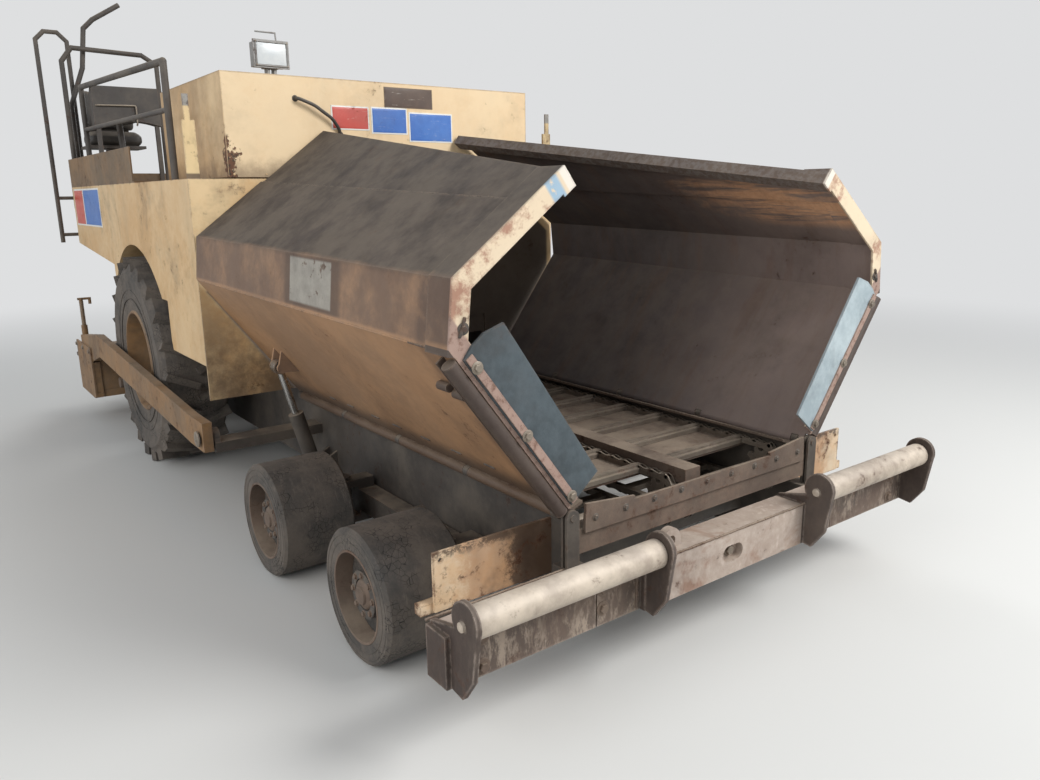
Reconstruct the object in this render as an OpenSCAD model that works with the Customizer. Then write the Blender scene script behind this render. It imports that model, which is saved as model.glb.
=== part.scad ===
/* [Hopper] */
// Distance of the wing hinges outside the frame
hinge_out = 32; // [28:1:60]
// Height of the wing hinges above the ground
hinge_z = 613; // [590:1:640]
// Length of the hopper wings from front to rear
wing_len = 2300; // [1900:1:2310]
// Width of the flat bottom plate of a wing
wing_floor_w = 753; // [650:1:800]
// Width and height of the slanting plate of a wing
wing_slant = 154; // [120:1:200]
// Height of a wing's side wall at the front
wing_side_front = 508; // [440:1:560]
// Height of a wing's side wall at the rear
wing_side_rear = 878; // [760:1:940]
// Height of the lower side plate at the front, up to the lap
wing_lap_front = 355; // [300:1:400]
// Height of the lower side plate at the rear, up to the lap
wing_lap_rear = 436; // [380:1:500]
// Angle by which a wing opens out towards the rear
wing_flare = 1.5; // [0:0.1:2]
// Thickness of the wing plates
wing_plate = 10; // [8:1:14]
// Width of the flange round a wing's front edge
wing_flange_w = 65; // [50:1:80]
// Depth of the band behind the flange
wing_flange_d = 130; // [80:1:160]
// Height of the band above the wing's plates
wing_flange_out = 12; // [8:1:16]
// Radius of the bar along a wing's front edge
wing_bar_r = 24; // [18:1:28]
// Angle through which a wing is raised in the stored pose
wing_raised = 53; // [45:1:55]
// Height of the rubber flap at a wing's front edge
flap_h = 148; // [110:1:170]
// Thickness of the rubber flaps
flap_t = 10; // [8:1:14]
// Outer radius of the hinge tubes
hinge_tube_r = 22; // [19:1:26]
// Radius of the hinge rod
hinge_rod_r = 12; // [10:1:14]

/* [Frame] */
// Half width of the frame over its side plates
frame_half_w = 640; // [600:1:645]
// Thickness of the frame's side plates
frame_plate = 25; // [16:1:30]
// Height of the frame's lower edge
frame_low_z = 230; // [200:1:260]
// Height of the frame's upper edge beside the hopper
frame_top_z = 600; // [580:1:604]

/* [Push beam] */
// Half the length of the push beam
beam_half_len = 1250; // [1100:1:1300]
// Distance of the beam's front face ahead of the hopper's front
beam_front = 148; // [130:1:170]
// Depth of the beam from front to rear
beam_depth = 130; // [100:1:134]
// Height of the beam's lower face
beam_low_z = 263; // [250:1:290]
// Height of the beam itself
beam_h = 169; // [140:1:190]
// Radius of the push rollers
roller_r = 50; // [44:1:55]
// Inner end of a push roller
roller_in = 465; // [420:1:480]
// Length of beam that stands beyond a push roller
beam_past = 38; // [32:1:60]
// Height of the push rollers
roller_z = 495; // [490:1:510]
// Distance of the rollers' axis ahead of the hopper's front
roller_front = 198; // [190:1:210]
// Radius of the push rollers' shafts
roller_shaft_r = 16; // [14:1:20]
// Thickness of the roller brackets
bracket_t = 18; // [14:1:22]
// Reach of a roller bracket ahead of the rollers' axis
bracket_reach = 70; // [60:1:80]

/* [Front wheels] */
// Radius of the solid front tyres
front_r = 255; // [235:1:260]
// Width of the solid front tyres
front_w = 330; // [300:1:340]
// Distance from a steering pin to the outer face of its wheel
front_wheel_out = 395; // [380:1:410]
// Distances of the two front axles from the hopper's front
front_axles = [580, 1500];
// Distance of the steering pins outside the frame
kingpin_out = 160; // [155:1:170]
// Radius of the steering pins
kingpin_r = 20; // [16:1:24]
// Radius of the front wheels' spindles
spindle_r = 30; // [25:1:35]

/* [Rear wheels] */
// Radius of the rear tyres out to the lugs' tips
rear_r = 655; // [630:1:665]
// Width of the rear tyres
rear_w = 390; // [340:1:395]
// Gap between the frame and a rear tyre
rear_gap = 162; // [120:1:175]
// Distance of the rear axle behind the body's front
rear_axle_back = 1330; // [1200:1:1400]
// Number of lugs in each row of a rear tyre
lugs = 22; // [16:1:28]
// Height of a lug
lug_h = 34; // [24:1:40]

/* [Body] */
// Half width of the body
body_half_w = 1137.5; // [1100:0.5:1150]
// Gap between the wings and the body's front panel
body_gap = 20; // [10:1:30]
// Height of the body's top
body_top_z = 1755; // [1700:1:1800]
// Length of the platform over the screed
deck_over = 640; // [560:1:700]
// Half width of the engine hood
hood_half_w = 938; // [880:1:960]
// Height of the engine hood
hood_h = 513; // [460:1:560]
// Length of the engine hood
hood_len = 1090; // [1000:1:1120]
// Height of the tunnels' roof
tunnel_top_z = 930; // [880:1:960]
// Height of the toe boards round the platform
toe_h = 200; // [120:1:240]
// Radius of the rail tubes
rail_r = 18; // [15:1:20]
// Height of the side rails above the platform
rail_h = 620; // [560:1:660]
// Distance of the console behind the hood
console_back = 1190; // [1000:1:1250]
// Width of the console
console_w = 440; // [400:1:460]

/* [Conveyors and augers] */
// Inner edge of a conveyor from the middle
conveyor_in = 48; // [46:1:60]
// Gap between a conveyor and the frame plate beside it
conveyor_gap = 19; // [15:1:30]
// Height of the conveyors' middle
conveyor_z = 490; // [485:1:495]
// Radius of the chain's turn at its middle
chain_turn = 85; // [80:1:90]
// Thickness of the chain band
chain_t = 20; // [16:1:24]
// Slats on one conveyor
slats = 36; // [24:1:40]
// Outer radius of the auger flights
auger_r = 180; // [150:1:185]
// Pitch of the auger flights
auger_pitch = 300; // [240:1:340]
// Height of the auger shafts
auger_z = 345; // [330:1:360]
// Gap between the rear tyres and the augers along the machine
auger_gap = 75; // [60:1:100]
// Distance between the augers' outer end and the screed's side
auger_short = 72; // [50:1:150]

/* [Screed] */
// Gap between the rear tyres and the tow arms beside them
arm_gap = 20; // [14:1:26]
// Gap between the augers and the screed
screed_gap = 70; // [60:1:100]
// Length of the screed from front to rear
screed_len = 520; // [460:1:560]
// Height of the screed plate in the stored pose
screed_z = 205; // [200:1:230]
// Height of the screed box
screed_h = 350; // [300:1:380]
// Width of the walkway behind the screed
walkway_w = 430; // [360:1:460]
// Tow point of the screed arms ahead of the body's front
tow_ahead = 180; // [160:1:200]
// Height of the tow point
tow_z = 500; // [480:1:520]
// Thickness of a tow arm
arm_t = 48; // [40:1:50]

/* [Hidden] */
$fn = 48;

paint = "#c9a052";
worn = "#b08d5a";
rust = "#7a5a44";
steel = "#8d8983";
dark = "#4b4843";
tyre = "#3c3b3a";
rubber = "#5c6a74";

fit = 0.06;

// Places across the machine
hinge_x = frame_half_w + hinge_out;
plate_in = frame_half_w - frame_plate;
conveyor_out = plate_in - conveyor_gap;
kingpin_x = frame_half_w + kingpin_out;
front_out = kingpin_x + front_wheel_out;
rear_in = frame_half_w + rear_gap;
rear_out = rear_in + rear_w;
arm_in = rear_out + arm_gap;
gate_out = arm_in + arm_t + 12;
screed_half_w = arm_in;
auger_end = screed_half_w - auger_short;
roller_out = beam_half_len - beam_past;

// Places along the machine, behind the hopper's front
nose = roller_front + bracket_reach;
beam_back = beam_depth - beam_front;
body_front = wing_len + body_gap;
tow_y = body_front - tow_ahead;
rear_axle_y = body_front + rear_axle_back;
auger_y = rear_axle_y + rear_r + auger_gap + auger_r;
screed_y = auger_y + auger_r + screed_gap;
frame_end_y = screed_y - 85;
deck_start = body_front + hood_len;
deck_end = screed_y + deck_over;
rear_end = screed_y + screed_len + 40 + walkway_w;
middle_y = (rear_end - nose) / 2;

// Heights
deck_z = body_top_z + 8;
floor_top = conveyor_z + chain_turn - chain_t / 2;
floor_t = 12;
front_axle_z = front_r;
rear_axle_z = rear_r;
hinge_segments = 4;
hinge_lug_w = 30;

// Wing corners in the lowered wing's own frame: outwards and upwards from the hinge
floor_low = 12;
fold_a = [wing_floor_w, floor_low];
fold_b = [wing_floor_w + wing_slant, wing_slant];
slant_way = (fold_b - fold_a) / norm(fold_b - fold_a);
slant_out = [slant_way[1], -slant_way[0]];

// Cylinders of the wings: pivot on the frame, lug on the wing (lowered frame), place along the machine
wing_base = [frame_half_w + 104, 285];
wing_lug = [320, -40];
wing_cyl_y = wing_len - 340;
function turned(p, a) = [p[0] * cos(a) - p[1] * sin(a), p[0] * sin(a) + p[1] * cos(a)];
wing_eye = [hinge_x, hinge_z] + turned(wing_lug, wing_raised);
wing_cyl_len = norm(wing_eye - wing_base);
wing_cyl_tilt = atan2(wing_eye[1] - wing_base[1], wing_eye[0] - wing_base[0]);

// Ears that hold a cylinder: free half gap, thickness, pin and the rod's wide eye
ear_in = 40;
ear_t = 15;
pin_r = 12;
eye_r = 34;
eye_bore = pin_r + 10.5;

// Cylinders of the screed: pivot on the frame and eye on the screed, as distance and height
lift_top = [frame_end_y + 65, body_top_z - 255];
lift_eye = [screed_y + 185, screed_z + 435];
lift_x = frame_half_w + 210;
lift_len = norm(lift_eye - lift_top);
lift_tilt = atan2(lift_eye[1] - lift_top[1], lift_eye[0] - lift_top[0]);

// Moves a piece from distances behind the hopper's front to the machine's middle
module placed() translate([0, -middle_y, 0]) children();
function ears(c) = [c - ear_in - ear_t, c + ear_in];
module both_sides() { children(); mirror([1, 0, 0]) children(); }
module side(s) { if (s > 0) children(); else mirror([1, 0, 0]) children(); }
// Box from its lowest to its highest corner
module slab(low, high) translate(low) cube(high - low);
// Extrudes a profile of distance and height across the machine from x0 to x1
module across(x0, x1) translate([x0, 0, 0]) rotate([90, 0, 90]) linear_extrude(x1 - x0) children();
// Extrudes a profile of width and height along the machine from y0 to y1
module along(y0, y1) translate([0, y1, 0]) rotate([90, 0, 0]) linear_extrude(y1 - y0) children();
// Outline of a lug: from a foot between two points to a round eye
module lug_outline(a, b, eye, r) {
  d = eye - (a + b) / 2;
  n = [-d[1], d[0]] / norm(d) * r * ((b - a) * [-d[1], d[0]] > 0 ? 1 : -1);
  polygon([a, b, eye + n, eye - n]);
  translate(eye) circle(r = r);
}
// Profile of a band's outline round two turns
module stadium(y0, y1, z, r) {
  for (y = [y0, y1]) translate([y, z]) circle(r = r);
  translate([y0, z - r]) square([y1 - y0, 2 * r]);
}
// Rod between two points
module rod(a, b, r) {
  v = b - a;
  translate(a) rotate([0, acos(v[2] / norm(v)), atan2(v[1], v[0])]) cylinder(h = norm(v), r = r);
}
// Bent tube through a row of points, with a slightly wider ball at each corner
bead = 0.6;
module tube(points, r) {
  for (i = [0 : len(points) - 2]) rod(points[i], points[i + 1], r);
  for (i = [1 : len(points) - 2]) translate(points[i]) sphere(r = r + bead);
}

// Frame with its side plates, cross members and hinge lugs
cross_members = [300, 1240, body_front + 80, rear_axle_y - 400, rear_axle_y + 400];
module main_frame() placed() color(dark) {
  both_sides() {
    across(plate_in, frame_half_w) difference() {
      polygon([
        [beam_back, beam_low_z], [beam_back + 220, frame_low_z], [auger_y - auger_r - 150, frame_low_z],
        [auger_y - auger_r - 30, auger_z + auger_r + 40], [frame_end_y, auger_z + auger_r + 40],
        [frame_end_y, body_top_z - 60], [body_front + 12, body_top_z - 60],
        [body_front + 12, frame_top_z], [60, frame_top_z], [60, beam_low_z + beam_h],
        [beam_back, beam_low_z + beam_h]]);
      translate([bogie_y, bogie_pivot_z]) circle(r = bogie_tube_r + fit);
    }
    for (i = [0 : hinge_segments]) {
      y = hinge_lug_y(i);
      slab([frame_half_w, y, hinge_z - hinge_tube_r], [hinge_x, y + hinge_lug_w, hinge_z - hinge_rod_r / 2]);
      translate([hinge_x, y, hinge_z]) rotate([-90, 0, 0]) cylinder(h = hinge_lug_w, r = hinge_tube_r);
    }
    translate([hinge_x, hinge_plates[0] - 4, hinge_z]) rotate([-90, 0, 0])
      cylinder(h = hinge_lug_y(hinge_segments) + hinge_lug_w - hinge_plates[0] + 4, r = hinge_rod_r);
    front_hinge_bracket();
    wing_pivot_bracket();
    lift_pivot_bracket();
    tow_bracket();
  }
  for (y = cross_members)
    slab([-plate_in, y, frame_low_z + 10], [plate_in, y + 80, frame_low_z + 100]);
  slab([-plate_in, frame_end_y - 80, lift_top[1] - 20], [plate_in, frame_end_y, lift_top[1] + 100]);
}
function hinge_lug_y(i) = 50 + i * (wing_len - 130) / hinge_segments;

// Two plates on a shelf beside the sill, which hold the front end of the hinge rod
hinge_plates = [-14, 6];
hinge_plate_t = 10;
hinge_plate_r = 28;
shelf_z = [beam_low_z + beam_h - 32, beam_low_z + beam_h];
module front_hinge_bracket() {
  slab([frame_half_w, beam_back, shelf_z[0]], [hinge_x + hinge_plate_r, 60, shelf_z[1]]);
  for (y = hinge_plates) along(y, y + hinge_plate_t) {
    translate([hinge_x - hinge_plate_r, shelf_z[1] - 1]) square([2 * hinge_plate_r, hinge_z - shelf_z[1] + 1]);
    translate([hinge_x, hinge_z]) circle(r = hinge_plate_r);
  }
}

// Fork that holds the foot of a wing's cylinder
module wing_pivot_bracket() {
  for (y = ears(wing_cyl_y)) along(y, y + ear_t)
    lug_outline([frame_half_w, frame_low_z + 10], [frame_half_w, frame_low_z + 140], wing_base, 30);
  translate([wing_base[0], wing_cyl_y - ear_in - ear_t, wing_base[1]]) rotate([-90, 0, 0])
    cylinder(h = 2 * (ear_in + ear_t), r = pin_r);
}
// Fork under the platform that holds the top of a screed cylinder
module lift_pivot_bracket() {
  slab([plate_in, frame_end_y - 80, lift_top[1] + 60], [lift_x + 60, frame_end_y, lift_top[1] + 100]);
  for (x = ears(lift_x)) across(x, x + ear_t)
    lug_outline([frame_end_y - 80, lift_top[1] + 61], [frame_end_y, lift_top[1] + 61], lift_top, 30);
  translate([lift_x - ear_in - ear_t, lift_top[0], lift_top[1]]) rotate([0, 90, 0])
    cylinder(h = 2 * (ear_in + ear_t), r = pin_r);
}
// Bracket and pin of the tow point
module tow_bracket() {
  slab([frame_half_w, tow_y - 60, tow_z - 70], [rear_out + 12, tow_y + 60, tow_z - 20]);
  across(rear_out - 20, rear_out + 12)
    lug_outline([tow_y - 60, tow_z - 40], [tow_y + 60, tow_z - 40], [tow_y, tow_z], 45);
  translate([rear_out, tow_y, tow_z]) rotate([0, 90, 0]) cylinder(h = arm_t + 30, r = 25);
}

// Floor under the conveyors, centre divider, chain guards and tunnel roof
conveyor_end = rear_axle_y + 520;
module hopper_floor() placed() color(rust) {
  slab([-plate_in, 280, floor_top - floor_t], [plate_in, conveyor_end, floor_top]);
  slab([-conveyor_in + 6, 60, floor_top], [conveyor_in - 6, conveyor_end + 80, floor_top + 60]);
  both_sides() along(60, body_front) polygon([
    [conveyor_out + 4, frame_top_z + 6], [plate_in, frame_top_z],
    [frame_half_w, frame_top_z], [frame_half_w, frame_top_z + 8], [conveyor_out - 30, frame_top_z + 30],
    [conveyor_out - 30, frame_top_z + 20]]);
  slab([-plate_in, body_front + 12, tunnel_top_z], [plate_in, conveyor_end, tunnel_top_z + 10]);
}

// Band of one chain loop, as a profile of distance and height
module loop_band(r, t) difference() {
  stadium(turn_front, turn_rear, conveyor_z, r + t / 2);
  stadium(turn_front, turn_rear, conveyor_z, r - t / 2);
}
// Place and turn of a slat at a share s of the loop
turn_front = 170;
turn_rear = auger_y - 262;
run_len = turn_rear - turn_front;
turn_len = PI * (chain_turn + chain_t / 2);
loop_len = 2 * run_len + 2 * turn_len;
module on_loop(s) {
  d = s * loop_len;
  r = chain_turn + chain_t / 2;
  if (d < run_len) translate([0, turn_front + d, conveyor_z]) translate([0, 0, r]) children();
  else if (d < run_len + turn_len)
    translate([0, turn_rear, conveyor_z]) rotate([-(d - run_len) / turn_len * 180, 0, 0])
      translate([0, 0, r]) children();
  else if (d < 2 * run_len + turn_len)
    translate([0, turn_rear - (d - run_len - turn_len), conveyor_z]) rotate([180, 0, 0])
      translate([0, 0, r]) children();
  else translate([0, turn_front, conveyor_z])
    rotate([180 - (d - 2 * run_len - turn_len) / turn_len * 180, 0, 0]) translate([0, 0, r]) children();
}
module slat_conveyors() placed() color(steel) both_sides() {
  chains = [conveyor_in, conveyor_out - chain_w];
  for (x = chains) across(x, x + chain_w) loop_band(chain_turn, chain_t);
  for (i = [0 : slats - 1]) on_loop((i + 0.5) / slats) translate([conveyor_in + 4, 0, 0]) rotate([90, 0, 90])
    linear_extrude(conveyor_out - conveyor_in - 8) polygon([
      [-slat_w / 2, 2 - chain_t], [slat_w / 2, 2 - chain_t], [slat_w / 2, 0], [slat_w / 4, 2],
      [slat_w / 4, slat_h], [-slat_w / 4, slat_h], [-slat_w / 4, 2], [-slat_w / 2, 0]]);
  for (y = [turn_front, turn_rear]) {
    translate([conveyor_in, y, conveyor_z]) rotate([0, 90, 0]) cylinder(h = conveyor_out - conveyor_in, r = 30);
    for (x = chains) across(x + 4, x + chain_w - 4) translate([y, conveyor_z]) sprocket();
  }
}
chain_w = 28;
slat_w = 48;
slat_h = 12;
teeth = 9;
// Toothed wheel whose teeth reach into the chain's band
module sprocket() {
  tip = chain_turn - chain_t / 2 + 3;
  root = tip - 20;
  step = 360 / teeth;
  polygon([for (i = [0 : teeth - 1], c = [[root, 0], [root, 0.35], [tip, 0.5], [tip, 0.85]])
    let (a = (i + c[1]) * step) c[0] * [cos(a), sin(a)]]);
}

// Front wall of the body with the two tunnel mouths and the gates that set the flow
gate_drop = 110;
module bulkhead() placed() color(paint) {
  along(body_front, body_front + 12) difference() {
    translate([-body_half_w, frame_top_z + 40]) square([2 * body_half_w, body_top_z - frame_top_z - 40]);
    for (m = [0, 1]) mirror([m, 0])
      translate([conveyor_in, 0]) square([conveyor_out - conveyor_in, tunnel_top_z]);
  }
  both_sides() {
    slab([conveyor_in + 6, body_front + 12, tunnel_top_z - gate_drop],
      [conveyor_out - 6, body_front + 22, tunnel_top_z - 0.3]);
    for (x = [conveyor_in - 14, conveyor_out - 14])
      slab([x, body_front + 12, tunnel_top_z - gate_drop - 60], [x + 28, body_front + 30, tunnel_top_z - 0.3]);
  }
}

// Beam that pushes the lorry, with the roller brackets and the tow lug
tow_lug_x = -290;
tow_lug_y = -90;
tow_lug_bore = 20;
tow_lug_t = 28;
tow_lug_z = beam_low_z + beam_h + tow_lug_bore + 6;
module push_beam() placed() color(rust) difference() {
  union() {
    slab([-beam_half_len, -beam_front + 22, beam_low_z], [beam_half_len, beam_back, beam_low_z + beam_h]);
    slab([-roller_in, -beam_front, beam_low_z], [roller_in, -beam_front + 30, beam_low_z + beam_h]);
    both_sides() for (x = [roller_in - bracket_t - 4, roller_out + 4])
      across(x, x + bracket_t) roller_bracket();
    along(tow_lug_y - tow_lug_t / 2, tow_lug_y + tow_lug_t / 2) lug_outline(
      [tow_lug_x - 50, beam_low_z + beam_h - 1], [tow_lug_x + 50, beam_low_z + beam_h - 1],
      [tow_lug_x, tow_lug_z], tow_lug_bore + 28);
  }
  translate([0, 0, beam_low_z + beam_h / 2]) along(-beam_front - 1, -beam_front + 31) stadium(-25, 25, 0, 32);
  both_sides() for (x = [roller_in - bracket_t - 5, roller_out + 3])
    translate([x, -roller_front, roller_z]) rotate([0, 90, 0])
      cylinder(h = bracket_t + 2, r = roller_shaft_r + fit);
  translate([tow_lug_x, tow_lug_y - tow_lug_t, tow_lug_z]) rotate([-90, 0, 0])
    cylinder(h = 2 * tow_lug_t, r = tow_lug_bore);
  both_sides() for (z = [60, 130]) translate([beam_joint_x, -beam_front, beam_low_z + z])
    rotate([-90, 0, 0]) cylinder(h = beam_depth + 2, r = 9);
  both_sides() slab([beam_joint_x + 24, -beam_front + 21, beam_low_z - 1],
    [beam_joint_x + 30, -beam_front + 40, beam_low_z + beam_h + 1]);
}
beam_joint_x = 640;
module roller_bracket() {
  translate([-roller_front - 6, roller_z + 12]) circle(r = bracket_reach - 6);
  polygon([
    [-nose, roller_z + 12], [-nose + 28, beam_low_z + 72], [-roller_front + 13, beam_low_z - 5],
    [beam_back, beam_low_z + 20], [beam_back, beam_low_z + beam_h + 8],
    [-roller_front + 41, beam_low_z + beam_h + 42], [-roller_front + bracket_reach - 12, roller_z + 12]]);
}

// Worn plates behind the beam ends, each with a square bar
guard_y = 141;
guard_z = [beam_low_z + 92, beam_low_z + 297];
guard_out = beam_half_len - 127;
guard_bar = 36;
module front_guards() placed() color(worn) both_sides() difference() {
  union() {
    slab([frame_half_w, guard_y, guard_z[0]], [guard_out, guard_y + 12, guard_z[1]]);
    slab([frame_half_w, guard_y + 12, guard_z[0] - 5],
      [guard_out + 47, guard_y + 12 + guard_bar, guard_z[0] - 5 + guard_bar]);
  }
  translate([guard_out - 28, guard_y - 1, guard_z[1] - 30]) rotate([-90, 0, 0]) cylinder(h = 14, r = 9);
}

// Sill across the hopper's front with its rubber strip and the cut corner pieces
sill_z = [470, 560];
module front_apron() placed() color(rust) {
  slab([-frame_half_w, 0, sill_z[0]], [frame_half_w, 60, sill_z[1]]);
  slab([-plate_in, -12, sill_z[1] - 15], [plate_in, 0, sill_z[1] + 52]);
  both_sides() along(-12, 0) polygon([
    [plate_in - 3, sill_z[1]], [plate_in - 3, sill_z[1] + 89], [plate_in - 233, sill_z[1] + 65],
    [plate_in - 202, sill_z[1]]]);
}

// Rocker beams of the front wheels with the forks for the steering pins
bogie_in = frame_half_w + 12;
bogie_out = frame_half_w + 102;
bogie_low = 205;
bogie_high = 310;
bogie_pivot_z = 290;
bogie_tube_r = 42;
fork_low = 150;
fork_high = 360;
fork_t = 34;
bogie_y = (front_axles[0] + front_axles[1]) / 2;
module bogie_beams() placed() color(dark) both_sides() {
  difference() {
    union() {
      slab([bogie_in, front_axles[0] - 40, bogie_low], [bogie_out, front_axles[1] + 40, bogie_high]);
      for (y = front_axles) {
        slab([bogie_in + 10, y - 40, fork_low], [bogie_out, y + 40, fork_high]);
        for (z = [fork_low, fork_high - fork_t]) translate([0, 0, z]) {
          slab([bogie_out - 1, y - 40, 0], [kingpin_x, y + 40, fork_t]);
          translate([kingpin_x, y, 0]) cylinder(h = fork_t, r = 40);
        }
      }
    }
    for (y = front_axles) translate([kingpin_x, y, fork_low - 1])
      cylinder(h = fork_high - fork_low + 2, r = kingpin_r + fit);
  }
  translate([plate_in, bogie_y, bogie_pivot_z]) rotate([0, 90, 0])
    cylinder(h = bogie_out - plate_in + 10, r = bogie_tube_r);
}

// Steering knuckle with its pin and spindle
module knuckle(s, y) placed() color(steel) side(s) {
  translate([kingpin_x, y, fork_low - 12]) cylinder(h = fork_high - fork_low + 24, r = kingpin_r);
  translate([kingpin_x, y, fork_low + fork_t + 1]) cylinder(h = fork_high - fork_low - 2 * fork_t - 2, r = 36);
  translate([kingpin_x, y, front_axle_z]) rotate([0, 90, 0])
    cylinder(h = front_out - 60 - kingpin_x, r = spindle_r);
}

// Solid front tyre on its dished disc
module front_wheel(s, y) placed() color(tyre) side(s) translate([front_out - front_w, y, front_axle_z])
  rotate([0, 90, 0]) rotate_extrude($fn = 64) polygon([
    [spindle_r + fit, 30], [95, 30], [95, 60], [165, 60], [165, 0], [front_r - 12, 0], [front_r, 12],
    [front_r, front_w - 12], [front_r - 12, front_w], [175, front_w], [165, front_w - 70],
    [90, front_w - 70], [90, front_w - 30], [60, front_w - 30], [60, front_w - 50],
    [spindle_r + fit, front_w - 50]]);

// Rear wheel: tyre with two rows of lugs on its dished rim
rim_r = 305;
module rear_wheel(s) placed() color(tyre) side(s) translate([rear_in, rear_axle_y, rear_axle_z])
  rotate([0, 90, 0]) {
    body_r = rear_r - lug_h;
    rotate_extrude($fn = 72) polygon([
      [hub_r + fit, 150], [rim_r - 40, 150], [rim_r - 10, 40], [rim_r + 15, 20], [rim_r + 60, 12],
      [body_r - 60, 0], [body_r - 12, 30], [body_r, 90], [body_r, rear_w - 90], [body_r - 12, rear_w - 30],
      [body_r - 60, rear_w], [rim_r + 60, rear_w - 12], [rim_r + 15, rear_w - 20], [rim_r - 10, rear_w - 40],
      [rim_r - 40, rear_w - 170], [hub_r + 90, rear_w - 170], [hub_r + 60, 190], [hub_r + fit, 190]]);
    intersection() {
      cylinder(h = rear_w, r = rear_r, $fn = 72);
      for (i = [0 : lugs - 1], row = [0, 1]) rotate([0, 0, (i + row / 2) * 360 / lugs])
        lug(row, body_r);
    }
  }
// One slanting lug on half the tread, longer outwards than the tyre's full radius
lug_w = 42;
module lug(row, r) {
  len = rear_w * 0.52;
  translate([0, 0, row == 0 ? 12 : rear_w - 12]) rotate([row == 0 ? -24 : 24, 0, 0])
    translate([r - 40, -lug_w / 2, row == 0 ? 0 : -len]) cube([lug_h + 60, lug_w, len]);
}
hub_r = 110;

// Final drives on the frame that carry the rear wheels
module final_drives() placed() color(dark) both_sides()
  translate([frame_half_w, rear_axle_y, rear_axle_z]) rotate([0, 90, 0]) {
    cylinder(h = 40, r = 240);
    cylinder(h = rear_gap + 120, r = 170);
    cylinder(h = rear_gap + 250, r = hub_r);
  }

// Tanks and panels at both sides of the body, with arches over the rear wheels
tank_low_z = 820;
skin = 40;
module side_bodies() placed() color(paint) both_sides() difference() {
  across(frame_half_w, body_half_w) polygon([
    [body_front + 12, tank_low_z], [rear_axle_y - rear_r - 40, tank_low_z], [rear_axle_y - rear_r - 40, 1100],
    [rear_axle_y + 590, 1100], [rear_axle_y + 590, 1230], [deck_end - 12, 1330],
    [deck_end - 12, body_top_z], [body_front + 12, body_top_z]]);
  translate([frame_half_w - 1, rear_axle_y, rear_axle_z]) rotate([0, 90, 0])
    cylinder(h = body_half_w, r = rear_r + 75);
  slab([frame_half_w - 1, rear_axle_y + 740, 0], [body_half_w - skin, deck_end - 12 - skin, body_top_z - skin]);
}

// Engine hood: a thin-walled box over a dark gap, on a lip set inwards, with a louvred side
hood_gap = 8;
hood_wall = 6;
hood_lip = 26;
louvres = 9;
module hood_ring(out, wall, z0, z1) difference() {
  slab([-hood_half_w + out, body_front + out, body_top_z + z0],
    [hood_half_w - out, deck_start - out, body_top_z + z1]);
  slab([-hood_half_w + out + wall, body_front + out + wall, body_top_z + z0 - 1],
    [hood_half_w - out - wall, deck_start - out - wall, body_top_z + z1 + 1]);
}
module engine_hood() placed() color(paint) {
  difference() {
    hood_ring(0, hood_wall, hood_gap, hood_h);
    slab([hood_half_w - 20, body_front + 230, body_top_z + 120],
      [hood_half_w + 1, deck_start - 230, body_top_z + 400]);
  }
  hood_ring(0, hood_lip, hood_gap, hood_gap + hood_wall);
  hood_ring(hood_lip - hood_wall, hood_wall, 0, hood_gap + hood_wall);
  slab([-hood_half_w, body_front, body_top_z + hood_h - hood_wall],
    [hood_half_w, deck_start, body_top_z + hood_h]);
  for (i = [0 : louvres - 1])
    translate([hood_half_w - 8, 0, body_top_z + 135 + i * 29]) rotate([0, 35, 0])
      slab([-12, body_front + 229, -2], [10, deck_start - 229, 2]);
}
module engine_block() placed() color(dark)
  slab([-430, body_front + 80, tunnel_top_z + 10], [430, deck_start - 190, body_top_z + 200]);

// Platform plate, toe boards, rear skirt and corner posts
post_h = [275, 395];
module deck() placed() color(worn) {
  slab([-body_half_w, deck_start, body_top_z], [body_half_w, deck_end, deck_z]);
  slab([-body_half_w, deck_end - 12, body_top_z - 160], [body_half_w, deck_end, deck_z + toe_h / 2]);
  both_sides() {
    slab([body_half_w - 8, deck_start + 40, deck_z], [body_half_w, deck_end, deck_z + toe_h]);
    slab([body_half_w - 60, body_front + 2, body_top_z],
      [body_half_w, body_front + 14, body_top_z + post_h[0]]);
    slab([body_half_w - 40, body_front + 2, body_top_z + post_h[0]],
      [body_half_w - 12, body_front + 12, body_top_z + post_h[1]]);
  }
}

// Tubular rails: side rails, tall rear bow and ladder at the near side, lower ones at the far side
rail_x = body_half_w - rail_r - 10;
rail_front = body_front + 320;
rail_back = deck_end - 690;
rear_rail_y = deck_end - 100;
ladder_x = [rail_x - 75, rail_x + 135];
module deck_rails() placed() color(dark) {
  top = deck_z + rail_h;
  bow_y = deck_end - rail_r - 16;
  side_rail(-1, rail_front, body_top_z, top - 48);
  side_rail(1, deck_start + 60, deck_z, top - 10);
  tube([[-rail_x, rear_rail_y, deck_z], [-rail_x, rear_rail_y, top + 290],
    [75 - rail_x, rear_rail_y, top + 390], [570 - rail_x, rear_rail_y, top + 375],
    [675 - rail_x, rear_rail_y, top + 310], [675 - rail_x, rear_rail_y, deck_z]], rail_r);
  tube([[rail_x, rear_rail_y, deck_z], [rail_x, rear_rail_y, top + 40], [rail_x - 675, rear_rail_y, top + 40],
    [rail_x - 675, rear_rail_y, deck_z]], rail_r);
  tube([[40 - rail_x, bow_y, deck_z], [40 - rail_x, bow_y, top - 20], [150 - rail_x, bow_y, top + 260],
    [190 - rail_x, bow_y, top + 545], [260 - rail_x, bow_y, top + 615],
    [460 - rail_x, bow_y, top + 740]], rail_r);
  ladder(-1, deck_z + 1130);
  ladder(1, deck_z + 700);
}
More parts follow.
